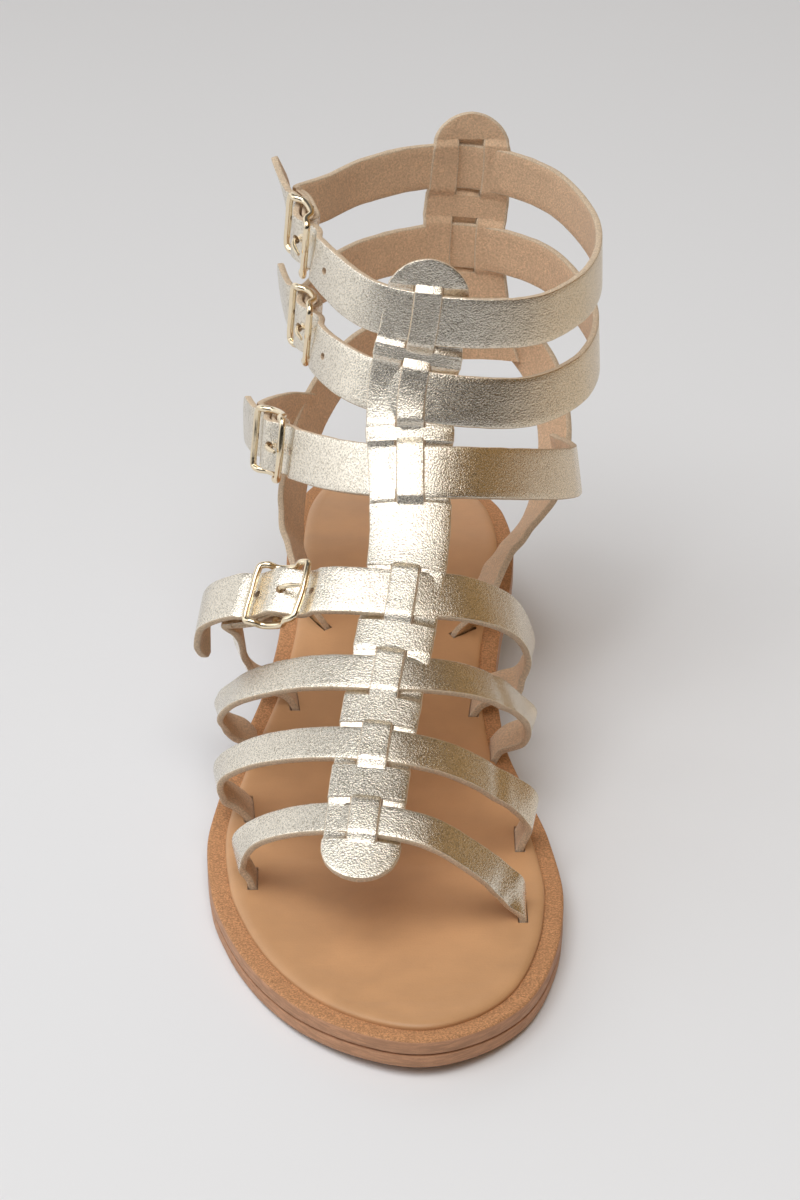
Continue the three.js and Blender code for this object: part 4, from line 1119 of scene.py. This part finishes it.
def slump(clasp, d):
    """How far the end round the middle bar hangs below the strap's line, in mm."""
    return -FOLD_DROP * (max(d - 3, 0) / 15) ** 1.5 if STRAPS[clasp["name"]].get("folded") else 0.0


def fold_piece(clasp, width):
    """The thinned end of a strap folded round the middle bar."""
    path = Path([local(clasp, d, slump(clasp, d), n) for d, n in FOLD])
    at = np.linspace(0, path.length, 60)
    along = path.along(at, 0.25)
    out = np.cross(np.tile(clasp["v"], (60, 1)), along)
    strip = Strip(path.at(at), along, out, np.full(60, width - 0.5), at)
    strip.across = np.tile(clasp["v"], (60, 1))
    obj = sweep("fold", strip, sizes().skived, looks("foil", "suede", "edge"), rough=0.03, seed=5)
    hole = local(clasp, EYELET_AT, slump(clasp, EYELET_AT), (FOLD_TOP + FOLD_BOTTOM) / 2)
    cut(obj, drill(hole, clasp["n"], 1.3, 5.0, looks("foil", "suede", "edge"), 2))
    return obj


def lead_piece(clasp, rows, strap, count=40):
    """The strap from the foot to the fold at its buckle."""
    points = [place(*row[:3]) for row in rows]
    points += [local(clasp, d, slump(clasp, d), n) for d, n in ((17.4, -4.8), (14.6, -4.7))]
    path = Path(points)
    at = np.linspace(0, path.length, count)
    along, point = path.along(at), path.at(at)
    share = np.clip(at / path.length, 0, 1)
    share = (share * share * (3 - 2 * share))[:, None]
    out = facing(strap, point, along, np.zeros(count)) * (1 - share) + clasp["n"] * share
    out = unit(out - along * np.sum(out * along, axis=1, keepdims=True))
    strip = Strip(point, along, out, np.full(count, float(strap["width"])), at)
    return sweep("lead", strip, sizes().leather, looks("foil", "suede", "edge"), rough=0.04, seed=8)


class SANDAL_OT_straps(bpy.types.Operator):
    """Builds the cross straps with their cut edges, creases, punched holes and folded buckle ends"""

    bl_idname = "sandal.straps"
    bl_label = "Cross straps"

    def execute(self, context):
        names = looks("foil", "suede", "edge")
        thick = context.scene.sandal_sizes.leather
        made = []
        for seed, (name, strap) in enumerate(STRAPS.items()):
            clasp = clasp_of(name) if name in BUCKLED else None
            strip = strap_strip(strap, 0.9, clasp)
            if clasp is not None:
                free_end(strip, bool(strap.get("folded")))
            obj = sweep(name, strip, thick, names, rough=0.05, seed=seed)
            if clasp is not None:
                punched(obj, clasp, -1 if strap.get("folded") else 1)
            made.append(obj)
            if strap.get("folded"):
                made.append(fold_piece(clasp, strap["width"]))
                made.append(lead_piece(clasp, strap_rows(strap)[-2:] + [(*strap["lead"], 0)], strap))
            elif name == "ankle":
                made.append(fold_piece(clasp, strap["width"]))
                made.append(lead_piece(clasp, strap["fixed"], strap))
        straps = join("cross_straps", made)
        crisp(straps, 40)
        finish_piece(straps, "strap_leather", "upper")
        clasp = clasp_of("instep")
        lead = lead_piece(clasp, strap_rows(INSTEP_BUCKLE_STRAP), INSTEP_BUCKLE_STRAP, 60)
        fixed = join("instep_buckle_strap_leather", [lead, fold_piece(clasp, INSTEP_BUCKLE_STRAP["width"])])
        crisp(fixed, 40)
        finish_piece(fixed, "strap_leather", "instep_buckle_strap")
        return {"FINISHED"}


def bowed_strip(path, rows, outward, length):
    """Stations of the spine or heel piece, which are bowed across their width."""
    width = monotone(range(len(rows)), [row[3] for row in rows], path.row(length))
    point, along = path.at(length), path.along(length)
    across = np.tile([1.0, 0, 0], (len(length), 1))
    across = unit(across - along * along[:, :1])
    out = unit(np.cross(across, along))
    out = np.where(np.sum(out * outward, axis=1, keepdims=True) < 0, -out, out)
    return Strip(point, along, out, width, length)


def rounded(path, rows, start, end, outward):
    """Stations whose width closes to a round end, start and end giving the radius there, in mm, or 0."""
    near = 9.0 * (1 - np.cos(np.linspace(0.02, math.pi / 2, 26)))
    length = [np.arange(0, path.length, 0.8), [path.length]]
    if start:
        length.append(near[near < start])
    if end:
        length.append(path.length - near[near < end])
    length = np.unique(np.round(np.concatenate(length), 3))
    if start:
        length = length[length > near[0] - 1e-3]
    if end:
        length = length[length < path.length - near[0] + 1e-3]
    strip = bowed_strip(path, rows, outward, length)
    for radius, away in ((start, length), (end, path.length - length)):
        if radius:
            t = np.clip(1 - away / radius, 0, 1)
            strip.width = strip.width * np.sqrt(np.maximum(1 - t**2, 0.002))
    return strip


def woven(name, rows, outward, start, end, thick, names):
    """A spine or heel piece: lowered flanks under each cross strap and a raised bridge over it."""
    sz = sizes()
    path = Path([place(*row[:3]) for row in rows])
    crossings = [(path.distance(i), STRAPS[row[4]]["width"]) for i, row in enumerate(rows) if row[4]]
    whole = rounded(path, rows, start, end, outward)
    half, raised, lowered = sz.bridge / 2, 0.74 * thick, 0.52 * thick
    made = []
    at = 0.0

    def flat(a, b):
        keep = (whole.length > a - 0.9) & (whole.length < b + 0.9)
        piece = whole.part(keep)
        piece.bowed = True
        made.append(sweep(name, piece, thick, names, rough=0.04, seed=len(made)))

    for middle, width in crossings:
        reach = width / 2 + 0.2
        low, high = middle - reach - RAMP, middle + reach + RAMP
        flat(at, low)
        at = high
        keep = (whole.length > low - 0.6) & (whole.length < high + 0.6)
        piece = whole.part(keep)
        piece.bowed = True
        away = np.abs(piece.length - middle)
        t = np.clip((reach + RAMP - away) / RAMP, 0, 1)
        climb = t * t * (3 - 2 * t)
        n = len(piece.length)
        made.append(sweep(name, piece, thick, names, np.full(n, -half), np.full(n, half), climb * raised,
                          seed=len(made)))
        made.append(sweep(name, piece, thick, names, -piece.width / 2, np.full(n, -half - 0.12),
                          -climb * lowered, 0.04, len(made)))
        made.append(sweep(name, piece, thick, names, np.full(n, half + 0.12), piece.width / 2,
                          -climb * lowered, 0.04, len(made)))
    flat(at, whole.length[-1])
    return made


class SANDAL_OT_spine(bpy.types.Operator):
    """Builds the slit spine that the cross straps pass through, with a round tab at each end"""

    bl_idname = "sandal.spine"
    bl_label = "Spine"

    def execute(self, context):
        outward = unit(np.array([0, -1, 0.4]))
        made = woven("spine", SPINE, outward, 9.2, 9.6, context.scene.sandal_sizes.leather,
                     looks("foil", "suede", "edge"))
        spine = join("spine", made)
        crisp(spine, 40)
        finish_piece(spine, "strap_leather", "upper")
        return {"FINISHED"}


class SANDAL_OT_heel_piece(bpy.types.Operator):
    """Builds the slit heel piece and the two legs that run from it to the sole"""

    bl_idname = "sandal.heel_piece"
    bl_label = "Heel piece and legs"

    def execute(self, context):
        names = looks("foil", "suede", "edge")
        thick = context.scene.sandal_sizes.leather
        made = woven("heel_piece", HEEL_PIECE, np.array([0, 1.0, 0]), 10.4, 0, thick, names)
        for seed, leg in enumerate(LEGS.values()):
            made.append(sweep("leg", strap_strip(leg, 0.9), thick, names, rough=0.05, seed=20 + seed))
        piece = join("heel_piece_and_legs", made)
        crisp(piece, 40)
        finish_piece(piece, "strap_leather", "upper")
        return {"FINISHED"}


# ---------------------------------------------------------------- buckles


def buckle_frame(clasp, names):
    wire = sizes().wire
    half_length, half, corner = BUCKLE_LENGTH / 2 - wire, BUCKLE_WIDTH / 2 - wire, 2.2

    def side(sign):
        return [(-half_length + corner, sign * half, END_BAR - 0.5), (-3, sign * half, MIDDLE_BAR + 1),
                (0, sign * half, MIDDLE_BAR + 0.5), (3, sign * half, MIDDLE_BAR + 1),
                (half_length - corner, sign * half, END_BAR - 0.5)]

    ring = [
        *side(1),
        (half_length - 0.4, half - 0.5, END_BAR - 0.1), (half_length, half - corner, END_BAR),
        (half_length, 0, END_BAR), (half_length, -half + corner, END_BAR),
        (half_length - 0.4, -half + 0.5, END_BAR - 0.1),
        *side(-1)[::-1],
        (-half_length - 0.2, -half + 0.5, END_BAR), (-half_length - 0.9, -half + corner + 1, END_BAR + 0.3),
        (-half_length - 1.3, 0, END_BAR + 0.4), (-half_length - 0.9, half - corner - 1, END_BAR + 0.3),
        (-half_length - 0.2, half - 0.5, END_BAR),
    ]
    loop = rod("frame", [local(clasp, *row) for row in ring], [wire], names, 18, closed=True, up=clasp["n"])
    bar = rod("bar", [local(clasp, 0, v, MIDDLE_BAR) for v in (-half, -half / 2, 0, half / 2, half)],
              [wire - 0.05], names, 14, up=clasp["n"])
    return [loop, bar]


class SANDAL_OT_buckles(bpy.types.Operator):
    """Builds the buckle frames, their prongs and the eyelets through the folded strap ends"""

    bl_idname = "sandal.buckles"
    bl_label = "Buckles"

    def execute(self, context):
        gold, brass = looks("gold"), looks("brass")
        for name in BUCKLED:
            clasp = clasp_of(name)
            piece = join(f"buckle_{name}", buckle_frame(clasp, gold))
            crisp(piece, 60)
            finish_piece(piece, "buckle_metal", f"buckle_frame_{name}")
            points = [local(clasp, d, 0, n) for d, n in PRONG]
            prong = rod("prong", points, [0.72, 0.72, 0.7, 0.68, 0.66, 0.62, 0.4], gold, 14, up=clasp["v"])
            prong.name = f"prong_{name}"
            crisp(prong, 60)
            finish_piece(prong, "buckle_metal", f"buckle_prong_{name}")
            bottom, top = FOLD_BOTTOM, FOLD_TOP
            profile = [(1.0, bottom - 0.75), (1.35, bottom - 0.85), (2.0, bottom - 0.7), (2.3, bottom - 0.35),
                       (2.2, bottom - 0.2), (1.45, bottom - 0.2), (1.45, top + 0.2), (2.2, top + 0.2),
                       (2.3, top + 0.4), (1.9, top + 0.7), (1.3, top + 0.8), (1.0, top + 0.7)]
            centre = local(clasp, EYELET_AT, slump(clasp, EYELET_AT), 0)
            eyelet = lathe(f"eyelet_ring_{name}", profile, centre, clasp["n"], brass)
            crisp(eyelet, 50)
            finish_piece(eyelet, "eyelet_metal", f"eyelet_{name}")
        return {"FINISHED"}


# ---------------------------------------------------------------- stage


def softbox(name, place_at, aim, size, power, tint=(1, 1, 1)):
    light = bpy.data.lights.new(name, "AREA")
    light.shape = "RECTANGLE"
    light.size, light.size_y = size
    light.energy = power
    light.color = tint
    obj = bpy.data.objects.new(name, light)
    obj.location = place_at
    obj.rotation_mode = "QUATERNION"
    obj.rotation_quaternion = (Vector(aim) - Vector(place_at)).to_track_quat("-Z", "Y")
    bpy.context.scene.collection.objects.link(obj)
    return obj


def room(brightness):
    """The room round the sandal: pale above, dark behind the camera and brown on the inner side."""
    world = bpy.data.worlds.new("room")
    world.use_nodes = True
    tree = world.node_tree
    tree.nodes.clear()
    new, link = tree.nodes.new, tree.links.new
    split = new("ShaderNodeSeparateXYZ")
    link(new("ShaderNodeTexCoord").outputs["Generated"], split.inputs[0])

    def span(axis, low, high):
        node = new("ShaderNodeMapRange")
        node.interpolation_type = "SMOOTHSTEP"
        node.inputs["From Min"].default_value = low
        node.inputs["From Max"].default_value = high
        link(split.outputs[axis], node.inputs["Value"])
        return node.outputs[0]

    def blend(share, under_colour, over_colour):
        node = new("ShaderNodeMix")
        node.data_type = "RGBA"
        link(share, node.inputs[0])
        for socket, value in ((node.inputs[6], under_colour), (node.inputs[7], over_colour)):
            if isinstance(value, tuple):
                socket.default_value = (*value, 1.0)
            else:
                link(value, socket)
        return node.outputs[2]

    def product(a, b):
        node = new("ShaderNodeMath")
        node.operation = "MULTIPLY"
        link(a, node.inputs[0])
        link(b, node.inputs[1])
        return node.outputs[0]

    tone = blend(span("X", 0.0, 0.45), (1.0, 1.0, 1.0), (0.34, 0.22, 0.10))
    tone = blend(product(span("Y", -0.1, -0.5), span("Z", 0.66, 0.40)), tone, (0.03, 0.03, 0.03))
    tone = blend(product(span("Y", 0.02, 0.2), span("Z", 0.5, 0.8)), tone, (0.10, 0.10, 0.10))
    light = new("ShaderNodeBackground")
    link(tone, light.inputs[0])
    light.inputs[1].default_value = brightness
    link(light.outputs[0], new("ShaderNodeOutputWorld").inputs[0])
    return world


class SANDAL_OT_stage(bpy.types.Operator):
    """Sets up the plain floor, the soft studio lights and the camera"""

    bl_idname = "sandal.stage"
    bl_label = "Stage"

    def execute(self, context):
        scene = context.scene
        stage = scene.sandal_stage
        r = stage.floor_radius
        floor = make("floor", np.array([(-r, -r, 0), (r, -r, 0), (r, r, 0), (-r, r, 0)]) / MM, [(0, 1, 2, 3)],
                     looks("floor"))
        softbox("key", (-0.25, -0.55, 1.55), (0, -0.02, 0.05), (1.5, 1.1), stage.key)
        softbox("outer_side", (-1.3, -0.25, 0.75), (0, 0, 0.06), (1.1, 0.9), stage.fill)
        scene.world = room(stage.sky)
        camera = bpy.data.cameras.new("camera")
        camera.lens = stage.lens
        camera.sensor_width = 36.0
        camera.clip_start, camera.clip_end = 0.05, 40.0
        camera.dof.use_dof = False
        obj = bpy.data.objects.new("camera", camera)
        at = Vector((-0.01835, -0.6017, 0.37532))
        forward = Vector((0.0247, 0.8811, -0.4723))
        right = forward.cross(Vector((0, 0, 1))).normalized()
        lift = right.cross(forward).normalized()
        turn = Matrix((right, lift, -forward.normalized())).transposed()
        obj.matrix_world = Matrix.Translation(at) @ turn.to_4x4()
        scene.collection.objects.link(obj)
        scene.camera = obj
        scene.view_settings.view_transform = "Standard"
        return {"FINISHED"}


class SANDAL_PT_panel(bpy.types.Panel):
    """Lists the steps that build the sandal"""

    bl_label = "Gladiator sandal"
    bl_idname = "SANDAL_PT_panel"
    bl_space_type = "VIEW_3D"
    bl_region_type = "UI"
    bl_category = "Sandal"

    def draw(self, context):
        for step in STEPS:
            self.layout.operator(step.bl_idname)
        for group in (context.scene.sandal_sizes, context.scene.sandal_colours, context.scene.sandal_stage):
            box = self.layout.box()
            for name in group.__annotations__:
                box.prop(group, name)


STEPS = (SANDAL_OT_sole, SANDAL_OT_insole, SANDAL_OT_heel, SANDAL_OT_straps, SANDAL_OT_spine,
         SANDAL_OT_heel_piece, SANDAL_OT_buckles, SANDAL_OT_stage)
CLASSES = (SandalSizes, SandalColours, SandalStage, *STEPS, SANDAL_PT_panel)


def register():
    for cls in CLASSES:
        bpy.utils.register_class(cls)
    bpy.types.Scene.sandal_sizes = bpy.props.PointerProperty(type=SandalSizes)
    bpy.types.Scene.sandal_colours = bpy.props.PointerProperty(type=SandalColours)
    bpy.types.Scene.sandal_stage = bpy.props.PointerProperty(type=SandalStage)


def unregister():
    del bpy.types.Scene.sandal_stage
    del bpy.types.Scene.sandal_colours
    del bpy.types.Scene.sandal_sizes
    for cls in reversed(CLASSES):
        bpy.utils.unregister_class(cls)


def main():
    register()
    bpy.ops.sandal.sole()
    bpy.ops.sandal.insole()
    bpy.ops.sandal.heel()
    bpy.ops.sandal.straps()
    bpy.ops.sandal.spine()
    bpy.ops.sandal.heel_piece()
    bpy.ops.sandal.buckles()
    bpy.ops.sandal.stage()


if __name__ == "__main__":
    main()
